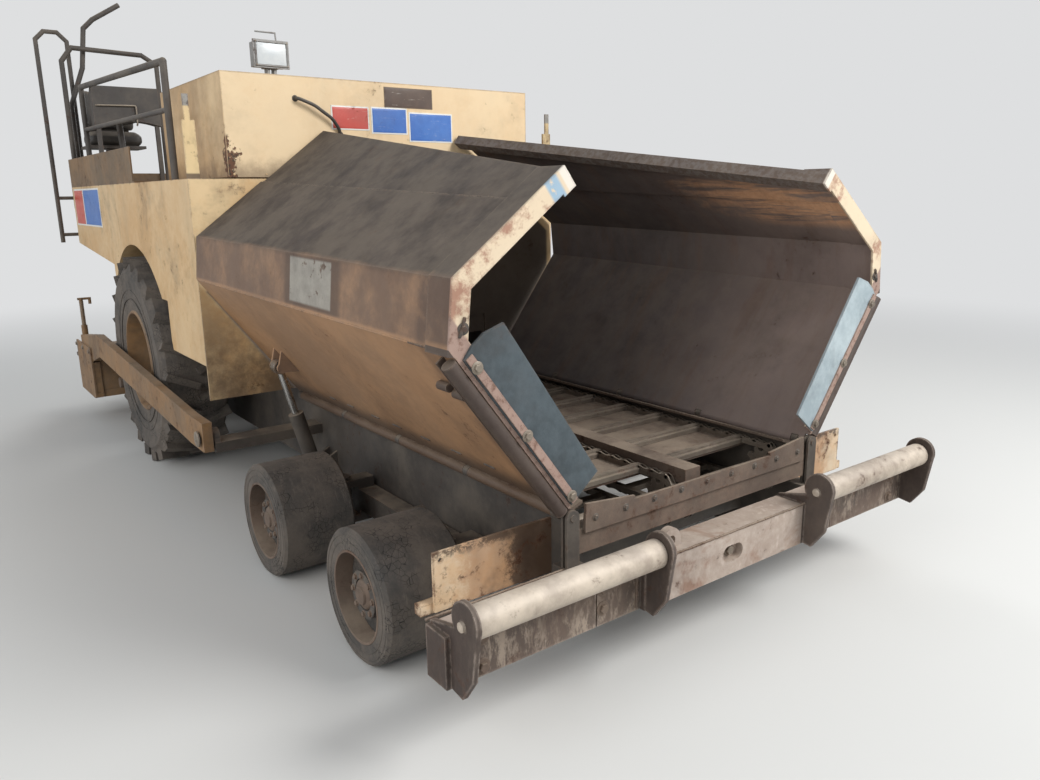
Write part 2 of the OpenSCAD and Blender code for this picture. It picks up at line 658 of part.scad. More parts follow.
// Rail along one side between two posts, with its middle rail
module side_rail(s, front, foot, front_top) side(s) {
  tube([[rail_x, front, foot], [rail_x, front, front_top], [rail_x, rail_back, deck_z + rail_h + 45],
    [rail_x, rail_back, deck_z]], rail_r);
  tube([[rail_x, front, deck_z + 340], [rail_x, rail_back, deck_z + 380]], rail_r - 4);
}
// Ladder at a rear corner: a hoop with rungs on two brackets
module ladder(s, top) side(s) {
  y = deck_end + 30;
  foot = body_top_z - 420;
  tube([[ladder_x[0], y, foot], [ladder_x[0], y, top - 60], [ladder_x[0] + 60, y, top],
    [ladder_x[1] - 60, y, top], [ladder_x[1], y, top - 60], [ladder_x[1], y, foot]], rail_r - 2);
  for (z = [foot + 60 : 280 : body_top_z]) rod([ladder_x[0], y, z], [ladder_x[1], y, z], 13);
  for (z = [body_top_z - 130, deck_z + 60])
    slab([ladder_x[0] - 15, deck_end, z], [ladder_x[0] + 15, y, z + 30]);
}

// Control console on its two posts, arched below, with the steering column behind it
console_x = rail_r + 12 + console_w / 2 - rail_x;
console_y = deck_start + console_back;
console_z = [deck_z + 395, deck_z + 665];
module console() placed() color(dark) {
  for (k = [-1, 1]) slab([console_x + k * (console_w / 2 - 25) - 14, console_y + 10, deck_z],
    [console_x + k * (console_w / 2 - 25) + 14, console_y + 38, console_z[0] + 60]);
  intersection() {
    along(console_y, console_y + 110) difference() {
      translate([console_x - console_w / 2, console_z[0]]) square([console_w, console_z[1] - console_z[0]]);
      translate([console_x + 40, console_z[0] - 520]) circle(r = 560);
    }
    across(console_x - console_w / 2, console_x + console_w / 2) polygon([
      [console_y, console_z[0]], [console_y, console_z[1]], [console_y + 30, console_z[1]],
      [console_y + 110, console_z[1] - 70], [console_y + 110, console_z[0]]]);
  }
  intersection() {
    on_column() translate([0, 0, -column_r]) cylinder(h = column_len + column_r, r = column_r);
    slab([console_x - 2 * column_r, console_y, deck_z],
      [console_x + 2 * column_r, console_y + column_len, deck_z + column_len]);
  }
  on_column() translate([0, 0, column_len - 30]) cylinder(h = 64, r = 10);
}
column_len = 470;
column_r = 22;
column_tilt = 12;
steer_r = 140;
module on_column() translate([console_x, console_y + 200, deck_z]) rotate([-column_tilt, 0, 0]) children();
module steering_wheel() placed() color(dark) on_column() translate([0, 0, column_len + 0.2]) difference() {
  union() {
    rotate_extrude() translate([steer_r, 20]) circle(r = 13, $fn = 24);
    cylinder(h = 40, r = 30);
    for (a = [90, 210, 330]) rotate([0, 0, a]) translate([0, -10, 14]) cube([steer_r, 20, 10]);
  }
  translate([0, 0, -1]) cylinder(h = 42, r = 10 + fit);
}

// Operator's seat: pedestal with its pan, and two cushions
seat_y = [deck_end - 450, deck_end - 160];
seat_half_w = 215;
seat_z = deck_z + 290;
module seat_base() placed() color(dark) {
  translate([console_x, (seat_y[0] + seat_y[1]) / 2, deck_z]) cylinder(h = 270, r = 60);
  slab([console_x - seat_half_w + 15, seat_y[0] + 10, deck_z + 270],
    [console_x + seat_half_w - 15, seat_y[1] + 12, seat_z]);
  slab([console_x - 150, seat_y[1], seat_z - 1], [console_x + 150, seat_y[1] + 12, seat_z + 400]);
}
module seat_cushions() placed() color("#3a3836") {
  slab([console_x - seat_half_w, seat_y[0], seat_z + 0.3],
    [console_x + seat_half_w, seat_y[1] - 0.3, seat_z + 95]);
  slab([console_x - seat_half_w, seat_y[1] - 75, seat_z + 105],
    [console_x + seat_half_w, seat_y[1] - 0.3, seat_z + 430]);
}

// Work lamp on the hood's front edge, with its feet, rim and wire handle
lamp_x = [-747, -563];
module work_lamp() placed() color("silver") {
  top = body_top_z + hood_h;
  for (x = [-676, -640]) slab([x, body_front + 50, top], [x + 14, body_front + 90, top + 40]);
  slab([-690, body_front + 45, top + 32], [-612, body_front + 95, top + 40]);
  slab([lamp_x[0] + 10, body_front + 40, top + 40], [lamp_x[1] - 10, body_front + 110, top + 158]);
  slab([lamp_x[0], body_front + 30, top + 32], [lamp_x[1], body_front + 42, top + 166]);
  tube([[-726, body_front + 60, top + 150], [-722, body_front + 60, top + 206],
    [-618, body_front + 60, top + 206], [-614, body_front + 60, top + 150]], 4);
}

// Case between the augers and the beam that carries it
module auger_carrier() placed() color(dark) {
  low = tunnel_top_z - 70;
  slab([-plate_in, auger_y - 90, low], [plate_in, auger_y + 90, low + 100]);
  across(-42, 42) lug_outline([auger_y - 85, low + 1], [auger_y + 85, low + 1], [auger_y, auger_z], 85);
}

// Auger: shaft and screw flight
shaft_r = 38;
flight_t = 12;
flight_steps = 24;
module auger(s) placed() color(rust) side(s) translate([0, auger_y, auger_z]) rotate([0, 90, 0]) {
  translate([0, 0, 42.2]) cylinder(h = auger_end - 42.2, r = shaft_r);
  translate([0, 0, 60]) flight(auger_end - 60 - 20);
}
module flight(h) {
  n = round(h / auger_pitch * flight_steps);
  pts = [for (i = [0 : n]) let (a = i * 360 / flight_steps, z = i * (h - flight_t) / n)
    for (c = [[shaft_r - 4, 0], [auger_r, 0], [auger_r, flight_t], [shaft_r - 4, flight_t]])
      [c[0] * cos(a), c[0] * sin(a), z + c[1]]];
  faces = concat(
    [[3, 2, 1, 0]], [[4 * n, 4 * n + 1, 4 * n + 2, 4 * n + 3]],
    [for (i = [0 : n - 1], k = [0 : 3]) let (a = 4 * i + k, b = 4 * i + (k + 1) % 4) [b + 4, a + 4, a]],
    [for (i = [0 : n - 1], k = [0 : 3]) let (a = 4 * i + k, b = 4 * i + (k + 1) % 4) [b, b + 4, a]]);
  polyhedron(pts, faces, convexity = 10);
}

// Points of the slant moved outwards by d: its foot, lowered along the slant, and its corner with the side
function slant_foot(d, lower = 0) = fold_a + d * slant_out - lower * slant_way;
function side_corner(d) = let (p = slant_foot(d), u = fold_b[0] + d)
  [u, p[1] + (u - p[0]) / slant_way[0] * slant_way[1]];
// Strip that follows slant and side between two distances from the outer face, up to a height
module bent_strip(d0, d1, top, lower = 0) polygon([
  slant_foot(d0, lower), side_corner(d0), [fold_b[0] + d0, top],
  [fold_b[0] + d1, top], side_corner(d1), slant_foot(d1, lower)]);
// Turns what is drawn straight outwards to the rear, and trims it to the wing's length
module flared() intersection() {
  translate([fold_a[0], 0, 0]) rotate([0, 0, -wing_flare]) translate([-fold_a[0], 0, 0]) children();
  slab([0, 0, -100], [2 * wing_floor_w, wing_len, 2 * wing_floor_w]);
}
module raised() translate([hinge_x, 0, hinge_z]) rotate([0, -wing_raised, 0]) children();

// Hopper wing in its lowered frame, hinge line along the machine at the origin
lap = 40;
wing_rail = [45, 55];
module wing(s) placed() color(paint) side(s) raised() difference() {
  union() {
    wing_floor();
    flared() wing_side();
    wing_front();
    for (i = [0 : hinge_segments - 1]) {
      y = hinge_lug_y(i) + hinge_lug_w + 3;
      translate([0, y, 0]) rotate([-90, 0, 0])
        cylinder(h = hinge_lug_y(i + 1) - 3 - y, r = hinge_tube_r);
    }
    for (y = ears(wing_cyl_y)) along(y, y + ear_t)
      lug_outline([wing_lug[0] - 70, floor_low + 1], [wing_lug[0] + 70, floor_low + 1], wing_lug, 26);
    translate([wing_lug[0], wing_cyl_y - ear_in - ear_t, wing_lug[1]]) rotate([-90, 0, 0])
      cylinder(h = 2 * (ear_in + ear_t), r = pin_r);
  }
  translate([0, -1, 0]) rotate([-90, 0, 0]) cylinder(h = wing_len + 2, r = hinge_rod_r + fit);
  for (i = [0 : hinge_segments]) translate([0, hinge_lug_y(i) - 3, 0]) rotate([-90, 0, 0])
    cylinder(h = hinge_lug_w + 6, r = hinge_tube_r + 3);
  translate([0, -1, 0]) rotate([-90, 0, 0])
    cylinder(h = hinge_plates[1] + hinge_plate_t + 6, r = hinge_plate_r + 5);
}
// Bottom plate, wider at the rear by the flare, whose edge stays inside the slant's weld
floor_weld = 3;
module wing_floor() translate([0, 0, floor_low]) linear_extrude(wing_plate) polygon([
  [0, 0], [wing_floor_w - floor_weld, 0],
  [wing_floor_w - floor_weld + wing_len * tan(wing_flare), wing_len], [0, wing_len]]);
// Slant, lower side plate, upper side plate lapped inside it, and the rail on top
module wing_side() {
  far = wing_len + 60;
  along(-20, far) bent_strip(0, -wing_plate, fold_b[1] + 30);
  side_plate(0, wing_plate, [0, 0], [wing_lap_front, wing_lap_rear]);
  side_plate(wing_plate - 1, wing_plate, [wing_lap_front - lap, wing_lap_rear - lap],
    [wing_side_front, wing_side_rear]);
  side_plate(2 * wing_plate - 2, wing_rail[0],
    [wing_side_front - wing_rail[1], wing_side_rear - wing_rail[1]], [wing_side_front, wing_side_rear]);
}
// Upright plate of the side: depth from the outer face, thickness, lower and upper edge at front and rear
module side_plate(depth, t, low, high) {
  far = wing_len + 60;
  across(fold_b[0] - depth - t, fold_b[0] - depth) polygon([
    [0, fold_b[1] + low[0]], [far, fold_b[1] + low[1] + (low[1] - low[0]) * 60 / wing_len],
    [far, fold_b[1] + high[1] + (high[1] - high[0]) * 60 / wing_len], [0, fold_b[1] + high[0]]]);
}
// Front edge: face plate, outer band, edge bar, lower flange and the bolted clamp strip of the flap
clamp_bolts = [70, 370, 670];
clamp_z = [30, 57];
flange_foot = 10;
edge_end = 22;
module wing_front() {
  top = fold_b[1] + wing_side_front;
  along(0, wing_plate) bent_strip(wing_flange_out, wing_flange_out - wing_flange_w, top, flange_foot);
  along(0, wing_flange_d) bent_strip(wing_flange_out, -wing_plate - 3, top, flange_foot);
  translate([36, 14, floor_low + 1 - wing_bar_r]) rotate([0, 90, 0])
    cylinder(h = wing_floor_w - edge_end - 36, r = wing_bar_r);
  slab([30, 66, floor_low - 32], [wing_floor_w - edge_end, 74, floor_low + 1]);
  slab([44, -flap_t - 6, clamp_z[0]], [wing_floor_w - 40, -flap_t, clamp_z[1]]);
  slab([36, 0, floor_low], [wing_floor_w, 6, clamp_z[1] + 20]);
  for (u = clamp_bolts) translate([u, -flap_t - 12, (clamp_z[0] + clamp_z[1]) / 2]) rotate([-90, 0, 0])
    cylinder(h = flap_t + 14, r = bolt_r);
  for (c = [[565, 90], [588, 158]]) translate([c[0], c[1], floor_low - 14]) rotate([-90, 0, 0])
    cylinder(h = 60, r = 15);
}
bolt_r = 6;
// Rubber flap at the wing's front edge, held by the wing's clamp strip
module flap(s) placed() color(rubber) side(s) raised() along(-flap_t, 0) difference() {
  polygon([[40, 26], [wing_floor_w - 38, 26], [wing_floor_w - 24, 73], [wing_floor_w - 23, 127],
    [wing_floor_w - 47, flap_h + 50], [46, flap_h + 26]]);
  for (u = clamp_bolts) translate([u, (clamp_z[0] + clamp_z[1]) / 2]) circle(r = bolt_r + fit);
}

// Cylinder of a wing: barrel on the frame, rod to the wing
module on_wing_cylinder() translate([wing_base[0], wing_cyl_y, wing_base[1]])
  rotate([0, 90 - wing_cyl_tilt, 0]) children();
wing_barrel_len = 320;
module wing_barrel(s) placed() color(dark) side(s) on_wing_cylinder() difference() {
  union() {
    translate([0, 0, 20]) cylinder(h = wing_barrel_len - 20, r = 38);
    translate([0, -30, 0]) rotate([-90, 0, 0]) cylinder(h = 60, r = 28);
  }
  translate([0, -31, 0]) rotate([-90, 0, 0]) cylinder(h = 62, r = pin_r + fit);
  translate([0, 0, 60]) cylinder(h = wing_barrel_len, r = 18 + fit);
}
module wing_rod(s) placed() color("silver") side(s) on_wing_cylinder() difference() {
  union() {
    translate([0, 0, wing_barrel_len - 30]) cylinder(h = wing_cyl_len - wing_barrel_len, r = 18);
    translate([0, -30, wing_cyl_len]) rotate([-90, 0, 0]) cylinder(h = 60, r = eye_r);
  }
  translate([0, -31, wing_cyl_len]) rotate([-90, 0, 0]) cylinder(h = 62, r = eye_bore);
}

// Push roller on its shaft
module roller(s) placed() color(steel) side(s) translate([0, -roller_front, roller_z]) rotate([0, 90, 0]) {
  translate([0, 0, roller_in]) cylinder(h = roller_out - roller_in, r = roller_r);
  translate([0, 0, roller_in - bracket_t - 10])
    cylinder(h = roller_out - roller_in + 2 * bracket_t + 20, r = roller_shaft_r);
}

// Arms that tow the screed, each with its crank spindle at the rear
module tow_arms() placed() color(worn) both_sides() {
  difference() {
    across(arm_in, arm_in + arm_t) polygon([
      [tow_y - 60, tow_z - 60], [tow_y + 160, tow_z - 60], [screed_y - 300, tow_z + 60],
      [screed_y, tow_z - 20], [screed_y + 360, tow_z - 20], [screed_y + 360, tow_z + 140],
      [screed_y - 300, tow_z + 220],
      [tow_y + 160, tow_z + 90], [tow_y - 60, tow_z + 90]]);
    translate([arm_in - 1, tow_y, tow_z]) rotate([0, 90, 0]) cylinder(h = arm_t + 2, r = 25 + fit);
  }
  translate([arm_in + arm_t / 2, screed_y + 300, tow_z + 130]) {
    cylinder(h = 300, r = 14);
    cylinder(h = 90, r = 22);
    translate([-60, 0, 292]) rotate([0, 90, 0]) cylinder(h = 84, r = 9);
    translate([-60, 0, 250]) cylinder(h = 50, r = 11);
  }
}
// Screed box with its plate, deflector, hatches and the lugs of the lift cylinders
hatches = 4;
module screed_box() placed() color(worn) {
  top = screed_z + screed_h;
  across(-screed_half_w, screed_half_w) polygon([
    [screed_y + 30, screed_z], [screed_y + screed_len, screed_z], [screed_y + screed_len, top - 120],
    [screed_y + screed_len - 120, top], [screed_y + 60, top], [screed_y, top - 60],
    [screed_y, screed_z + 60]]);
  across(-screed_half_w + 1, screed_half_w - 1) polygon([
    [screed_y + 1, top - 66], [screed_y - 24, top - 20], [screed_y - 24, top + 30], [screed_y - 16, top + 30],
    [screed_y - 16, top - 18], [screed_y + 1, top - 52]]);
  slab([-screed_half_w + 1, screed_y + 6, screed_z - 4], [screed_half_w - 1, screed_y + 24, screed_z + 60]);
  for (i = [0 : hatches - 1]) {
    w = 2 * (lift_x - 110) / hatches;
    slab([110 - lift_x + i * w + 20, screed_y + 120, top - 1],
      [110 - lift_x + (i + 1) * w - 20, screed_y + 370, top + 8]);
  }
  both_sides() {
    for (x = ears(lift_x)) across(x, x + ear_t)
      lug_outline([lift_eye[0] - 60, top - 1], [lift_eye[0] + 60, top - 1], lift_eye, 26);
    translate([lift_x - ear_in - ear_t, lift_eye[0], lift_eye[1]]) rotate([0, 90, 0])
      cylinder(h = 2 * (ear_in + ear_t), r = pin_r);
  }
}
// Plates that close the screed's ends, with skids, ribs and the bolt holes for extensions
extension = [250, 180];
module end_gates() placed() color(worn) both_sides() {
  difference() {
    slab([arm_in + arm_t, screed_y - 20, screed_z], [gate_out, screed_y + screed_len, screed_z + 380]);
    for (y = [-150, 150], z = [-75, 75])
      translate([arm_in + arm_t - 1, screed_y + extension[0] + y, screed_z + extension[1] + z])
        rotate([0, 90, 0]) cylinder(h = 14, r = 11);
  }
  across(arm_in, gate_out) polygon([
    [screed_y - 20, screed_z + 30], [screed_y + 20, screed_z - 8], [screed_y + screed_len, screed_z - 8],
    [screed_y + screed_len, screed_z], [screed_y + 26, screed_z], [screed_y - 10, screed_z + 36]]);
  for (y = [screed_y - 14, screed_y + screed_len - 20])
    slab([arm_in + 2, y, screed_z + 1], [arm_in + arm_t, y + 10, tow_z - 26]);
}
// Grating of the walkway behind the screed, on its brackets
grate_bars = 12;
module walkway() placed() color(dark) {
  front = screed_y + screed_len + 40;
  for (i = [0 : grate_bars]) let (y = front + i * (walkway_w - 8) / grate_bars)
    slab([-screed_half_w, y, 384], [screed_half_w, y + 8, 408]);
  for (x = [-screed_half_w, -760, -380, 0, 380, 760, screed_half_w - 12])
    slab([x, front, 380], [x + 12, rear_end, 404]);
  both_sides() for (x = [300, 1100]) across(x, x + 12) polygon([
    [screed_y + screed_len, 250], [screed_y + screed_len + 60, 250], [rear_end - 30, 370],
    [rear_end - 30, 400], [screed_y + screed_len, 400]]);
}

// Cylinder of the screed: barrel under the platform, rod to the screed
lift_barrel_len = 560;
module on_lift_cylinder() translate([lift_x, lift_top[0], lift_top[1]]) rotate([lift_tilt - 90, 0, 0])
  children();
module lift_barrel(s) placed() color(dark) side(s) on_lift_cylinder() difference() {
  union() {
    translate([0, 0, 20]) cylinder(h = lift_barrel_len - 20, r = 38);
    translate([-30, 0, 0]) rotate([0, 90, 0]) cylinder(h = 60, r = 28);
  }
  translate([-31, 0, 0]) rotate([0, 90, 0]) cylinder(h = 62, r = pin_r + fit);
  translate([0, 0, 60]) cylinder(h = lift_barrel_len, r = 18 + fit);
}
module lift_rod(s) placed() color("silver") side(s) on_lift_cylinder() difference() {
  union() {
    translate([0, 0, 200]) cylinder(h = lift_len - 210, r = 18);
    translate([-30, 0, lift_len]) rotate([0, 90, 0]) cylinder(h = 60, r = 28);
  }
  translate([-31, 0, lift_len]) rotate([0, 90, 0]) cylinder(h = 62, r = pin_r + 2);
}

main_frame();
hopper_floor();
slat_conveyors();
bulkhead();
push_beam();
front_guards();
front_apron();
bogie_beams();
side_bodies();
engine_hood();
engine_block();
deck();
deck_rails();
console();
seat_base();
seat_cushions();
work_lamp();
final_drives();
auger_carrier();
wing(1);  // wing_left
wing(-1);  // wing_right
flap(1);  // flap_left
flap(-1);  // flap_right
wing_barrel(1);  // wing_barrel_left
wing_barrel(-1);  // wing_barrel_right
wing_rod(1);  // wing_rod_left
wing_rod(-1);  // wing_rod_right
roller(1);  // roller_left
roller(-1);  // roller_right
knuckle(1, front_axles[0]);  // knuckle_left_1
knuckle(1, front_axles[1]);  // knuckle_left_2
knuckle(-1, front_axles[0]);  // knuckle_right_1
knuckle(-1, front_axles[1]);  // knuckle_right_2
front_wheel(1, front_axles[0]);  // front_wheel_left_1
front_wheel(1, front_axles[1]);  // front_wheel_left_2
front_wheel(-1, front_axles[0]);  // front_wheel_right_1
front_wheel(-1, front_axles[1]);  // front_wheel_right_2
rear_wheel(1);  // rear_wheel_left
rear_wheel(-1);  // rear_wheel_right
auger(1);  // auger_left
auger(-1);  // auger_right
tow_arms();
screed_box();
end_gates();
walkway();
lift_barrel(1);  // lift_barrel_left
lift_barrel(-1);  // lift_barrel_right
lift_rod(1);  // lift_rod_left
lift_rod(-1);  // lift_rod_right
steering_wheel();
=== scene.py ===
"""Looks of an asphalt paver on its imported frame, seen from the photograph's side.

Every sub-assembly is a class that works its surfaces out from the CAD boxes with
numpy, and every finish is a frozen dataclass that builds one procedural material.
Lengths are metres; "machine" places count y from the hopper's front plane.
"""
import functools
import logging
import math
from dataclasses import dataclass
from enum import Enum

import bpy
import numpy as np
from mathutils import Matrix, Vector


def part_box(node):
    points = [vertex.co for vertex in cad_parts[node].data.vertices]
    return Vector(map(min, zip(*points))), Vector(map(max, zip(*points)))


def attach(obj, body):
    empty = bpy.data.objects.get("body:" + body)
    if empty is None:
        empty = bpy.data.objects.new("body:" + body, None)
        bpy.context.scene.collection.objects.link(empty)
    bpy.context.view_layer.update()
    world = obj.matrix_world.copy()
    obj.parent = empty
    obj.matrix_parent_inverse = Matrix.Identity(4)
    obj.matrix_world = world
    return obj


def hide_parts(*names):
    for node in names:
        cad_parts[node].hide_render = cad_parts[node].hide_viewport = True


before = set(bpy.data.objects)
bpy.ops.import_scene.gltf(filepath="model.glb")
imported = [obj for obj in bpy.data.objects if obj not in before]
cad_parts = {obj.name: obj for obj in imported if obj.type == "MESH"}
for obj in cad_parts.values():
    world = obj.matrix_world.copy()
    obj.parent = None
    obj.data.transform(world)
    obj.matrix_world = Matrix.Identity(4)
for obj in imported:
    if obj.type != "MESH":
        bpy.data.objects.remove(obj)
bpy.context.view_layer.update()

logging.basicConfig(level=logging.INFO, format="%(name)s: %(message)s")
LOG = logging.getLogger("paver")
Array = np.ndarray
Shape = tuple[Array, Array]
Colour = tuple[int, int, int]
FORWARD = (0, -1, 0)
UP = (0, 0, 1)
TIP = 1e-5  # radius that stands for a closed end
SMOOTH = math.radians(40)  # sharper edges than this are shaded hard
APRON_FACE = 0.012  # how far the sill's plates stand before the front plane
BODY_FRONT = 2.32  # machine place of the body's front
HINGE = (0.672, 0.613)  # a wing's hinge: distance from the middle and height
WING_COS, WING_SIN = math.cos(math.radians(53.0)), math.sin(math.radians(53.0))  # of its raised angle


class Slot(Enum):
    """Material slots of the record."""

    YELLOW = "yellow_paint"
    WORN = "worn_paint"
    RUSTY = "rusty_steel"
    DARK = "dark_steel"
    BARE = "bare_steel"
    TYRE = "solid_tyre"
    SEAT = "seat_cover"
    LAMP = "lamp_shell"
    PLASTIC = "black_plastic"


class Side(Enum):
    """Sides of the machine, as the sign of x."""

    LEFT = 1
    RIGHT = -1

    @property
    def word(self) -> str:
        """The side's word in the names of nodes."""
        return self.name.lower()


# ---- Surfaces

def grid_faces(rows: int, cols: int, closed_rows: bool = False, closed_cols: bool = False) -> Array:
    """Works out the quads of a grid of points.

    Args:
        rows: Points one way.
        cols: Points the other way, next to each other in the list.
        closed_rows: Whether the last row joins the first.
        closed_cols: Whether the last column joins the first.

    Returns:
        Vertex numbers, shaped (count, 4).
    """
    i = np.arange(rows if closed_rows else rows - 1)[:, None]
    j = np.arange(cols if closed_cols else cols - 1)[None, :]
    down, right = (i + 1) % rows, (j + 1) % cols
    quads = [i * cols + j, i * cols + right, down * cols + right, down * cols + j]
    return np.stack(np.broadcast_arrays(*quads), -1).reshape(-1, 4)


def circle(radius: float, count: int, height: float = 0.0) -> Array:
    """Evenly spaced points (r cos a, r sin a, height), shaped (count, 3)."""
    a = np.linspace(0, 2 * np.pi, count, endpoint=False)
    return np.stack([radius * np.cos(a), radius * np.sin(a), height + 0 * a], -1)


def lathe(profile: list | tuple | Array, segments: int, closed: bool = False) -> Shape:
    """Turns a profile round the z axis.

    The point at turn a and step k is (r_k cos a, r_k sin a, h_k).

    Args:
        profile: Radius and height at each step, up the outside and in to the axis at the top.
        segments: Flats round the axis.
        closed: Whether the profile's last step joins its first.

    Returns:
        Places and outward quads.
    """
    line = np.asarray(profile, float)
    a = np.linspace(0, 2 * np.pi, segments, endpoint=False)[:, None]
    r, h = line[None, :, 0], line[None, :, 1]
    points = np.stack([r * np.cos(a), r * np.sin(a), h + 0 * a], -1)
    return points.reshape(-1, 3), grid_faces(segments, len(line), True, closed)[:, ::-1]


def joined(parts: list[Shape] | tuple[Shape, ...]) -> Shape:
    """Joins several shapes into one."""
    starts = np.cumsum([0] + [len(v) for v, _ in parts[:-1]])[:, None, None]
    return np.concatenate([v for v, _ in parts]), np.concatenate([f + s for (_, f), s in zip(parts, starts)])


def repeated(faces: Array, count: int, verts: int) -> Array:
    """Faces of a part over and over, numbered on by its count of vertices each time."""
    return (faces[None] + (np.arange(count) * verts)[:, None, None]).reshape(-1, faces.shape[1])


def turns_to(axes: Array) -> Array:
    """Finds the turns that bring the z axis to each given axis.

    Args:
        axes: One axis or several, shaped (count, 3).

    Returns:
        Matrices shaped (count, 3, 3), whose columns are side, up and the axis itself.
    """
    z = np.atleast_2d(np.asarray(axes, float))
    z = z / np.linalg.norm(z, axis=1, keepdims=True)
    helper = np.where(np.abs(z[:, [2]]) < 0.9, [[0.0, 0.0, 1.0]], [[0.0, 1.0, 0.0]])
    x = np.cross(helper, z)
    x /= np.linalg.norm(x, axis=1, keepdims=True)
    return np.stack([x, np.cross(z, x), z], -1)


def copies(part: Shape, places: Array, axes: Array) -> Shape:
    """Copies a part, with its z axis along the given axes, to each place.

    Args:
        part: Places and faces of the part round its own origin.
        places: Where the copies stand, shaped (count, 3).
        axes: One axis for all copies, or one for each.

    Returns:
        The copies as one shape.
    """
    verts, faces = part
    at = np.atleast_2d(np.asarray(places, float))
    turns = np.broadcast_to(turns_to(axes), (len(at), 3, 3))
    out = at[:, None, :] + np.einsum("nij,pj->npi", turns, verts)
    return out.reshape(-1, 3), repeated(faces, len(at), len(verts))


def bolt(radius: float, washer: float = 1.55) -> Shape:
    """Makes a hexagon head with a chamfer on a round washer, standing on z = 0.

    Args:
        radius: Radius of the head's corners.
        washer: Radius of the washer as a share of it.

    Returns:
        Head and washer as one shape.
    """
    h = radius * 0.62
    head = [(radius, 0.2 * h), (radius, 1.15 * h), (radius * 0.85, 1.35 * h), (TIP, 1.35 * h)]
    w = radius * washer
    disc = [(w, 0), (w, 0.22 * h), (w - 0.15 * h, 0.32 * h), (TIP, 0.32 * h)]
    return joined([lathe(head, 6), lathe(disc, 20)])


def tube_along(path: Array, radius: float | Array, sides: int = 10) -> Shape:
    """Sweeps a circle along a path.

    At step s and turn a the point is path(s) + r(s) (cos a side(s) + sin a up(s)), where
    side and up are square to the path.

    Args:
        path: Points of the path, shaped (count, 3).
        radius: One radius, or one for each point.
        sides: Flats round the tube.

    Returns:
        Places and outward quads, drawn in to a point at both ends.
    """
    path = np.asarray(path, float)
    r = np.pad(np.broadcast_to(np.asarray(radius, float), (len(path),)), 1, constant_values=TIP)
    way = np.pad(np.gradient(path, axis=0), ((1, 1), (0, 0)), mode="edge")
    path = np.pad(path, ((1, 1), (0, 0)), mode="edge")
    way = way / np.linalg.norm(way, axis=1, keepdims=True)
    side = np.cross(way, [0.31, 0.43, 0.85])
    side /= np.linalg.norm(side, axis=1, keepdims=True)
    up = np.cross(way, side)
    a = np.linspace(0, 2 * np.pi, sides, endpoint=False)[None, :, None]
    points = path[:, None] + r[:, None, None] * (np.cos(a) * side[:, None] + np.sin(a) * up[:, None])
    return points.reshape(-1, 3), grid_faces(len(path), sides, closed_cols=True)


def rounded(corners: list | tuple | Array, steps: int, passes: int = 4) -> Array:
    """Rounds a path by averaging evenly spaced points of it with their neighbours.

    Args:
        corners: Points that the path runs through.
        steps: Points of the finished path.
        passes: How often the average is taken.

    Returns:
        The path, shaped (steps, 3).
    """
    line = np.asarray(corners, float)
    at = np.concatenate([[0], np.cumsum(np.linalg.norm(np.diff(line, axis=0), axis=1))])
    s = np.linspace(0, at[-1], steps)
    path = np.stack([np.interp(s, at, line[:, k]) for k in range(3)], -1)
    for _ in range(passes):
        path[1:-1] = (path[:-2] + 2 * path[1:-1] + path[2:]) / 4
    return path


def weld(a: Array, b: Array, radius: float, seed: int) -> Shape:
    """Lays a weld bead: a tube whose radius is r (1 + ripple sin(waves s / r) + noise).

    Args:
        a: The bead's start.
        b: The bead's end.
        radius: The mean radius r.
        seed: Seed of the noise.

    Returns:
        The bead.
    """
    step, ripple, waves, noise, stray = 0.8, 0.16, 3.1, 0.06, 0.08
    a, b = np.asarray(a, float), np.asarray(b, float)
    length = float(np.linalg.norm(b - a))
    s = np.linspace(0, 1, max(8, int(length / (radius * step))))
    rng = np.random.default_rng(seed)
    r = radius * (1 + ripple * np.sin(s * length / radius * waves) + rng.normal(0, noise, len(s)))
    wander = rng.normal(0, radius * stray, (len(s), 3))
    return tube_along(a + (b - a) * s[:, None] + wander, r, 6)


def plate(a: Array, b: Array, c: Array, d: Array, thick: float, cell: float = 0.02, bow: float = 0.0,
          edge: float = 0.0015) -> Shape:
    """Thin plate over four corners with soft edges and a bow.

    At shares s and t the point is the corners' bilinear mean plus the normal times
    thick f(s) f(t) + bow 16 s(1-s) t(1-t), where f rises from 0 to 1 at the rim.

    Args:
        a: First corner; the corners run anticlockwise seen from the front.
        b: Second corner.
        c: Third corner.
        d: Fourth corner.
        thick: Height of the face above the corners' plane.
        cell: Size of a grid cell.
        bow: Height of the middle above the rim.
        edge: Width of the rim.

    Returns:
        Places and quads that face the front.
    """
    a, b, c, d = (np.asarray(p, float) for p in (a, b, c, d))
    wide, high = np.linalg.norm(b - a), np.linalg.norm(d - a)
    rim = min(edge, wide / 8, high / 8)
    s, t = (np.concatenate([[0], np.linspace(rim / span, 1 - rim / span, max(3, int(span / cell))), [1]])
            for span in (wide, high))
    s, t = s[:, None], t[None, :]
    normal = np.cross(b - a, d - a)
    normal /= np.linalg.norm(normal)
    height = thick * (s > 0) * (s < 1) * (t > 0) * (t < 1) + bow * 16 * s * (1 - s) * t * (1 - t)
    s, t = s[..., None], t[..., None]
    flat = (1 - s) * (1 - t) * a + s * (1 - t) * b + s * t * c + (1 - s) * t * d
    points = flat + normal * height[..., None]
    return points.reshape(-1, 3), grid_faces(*points.shape[:2])[:, ::-1]


def facing(x0: float, x1: float, y: float, z0: float, z1: float) -> Array:
    """Corners of an upright rectangle that looks forward, or back where x0 is above x1."""
    return np.array([(x0, y, z0), (x1, y, z0), (x1, y, z1), (x0, y, z1)])


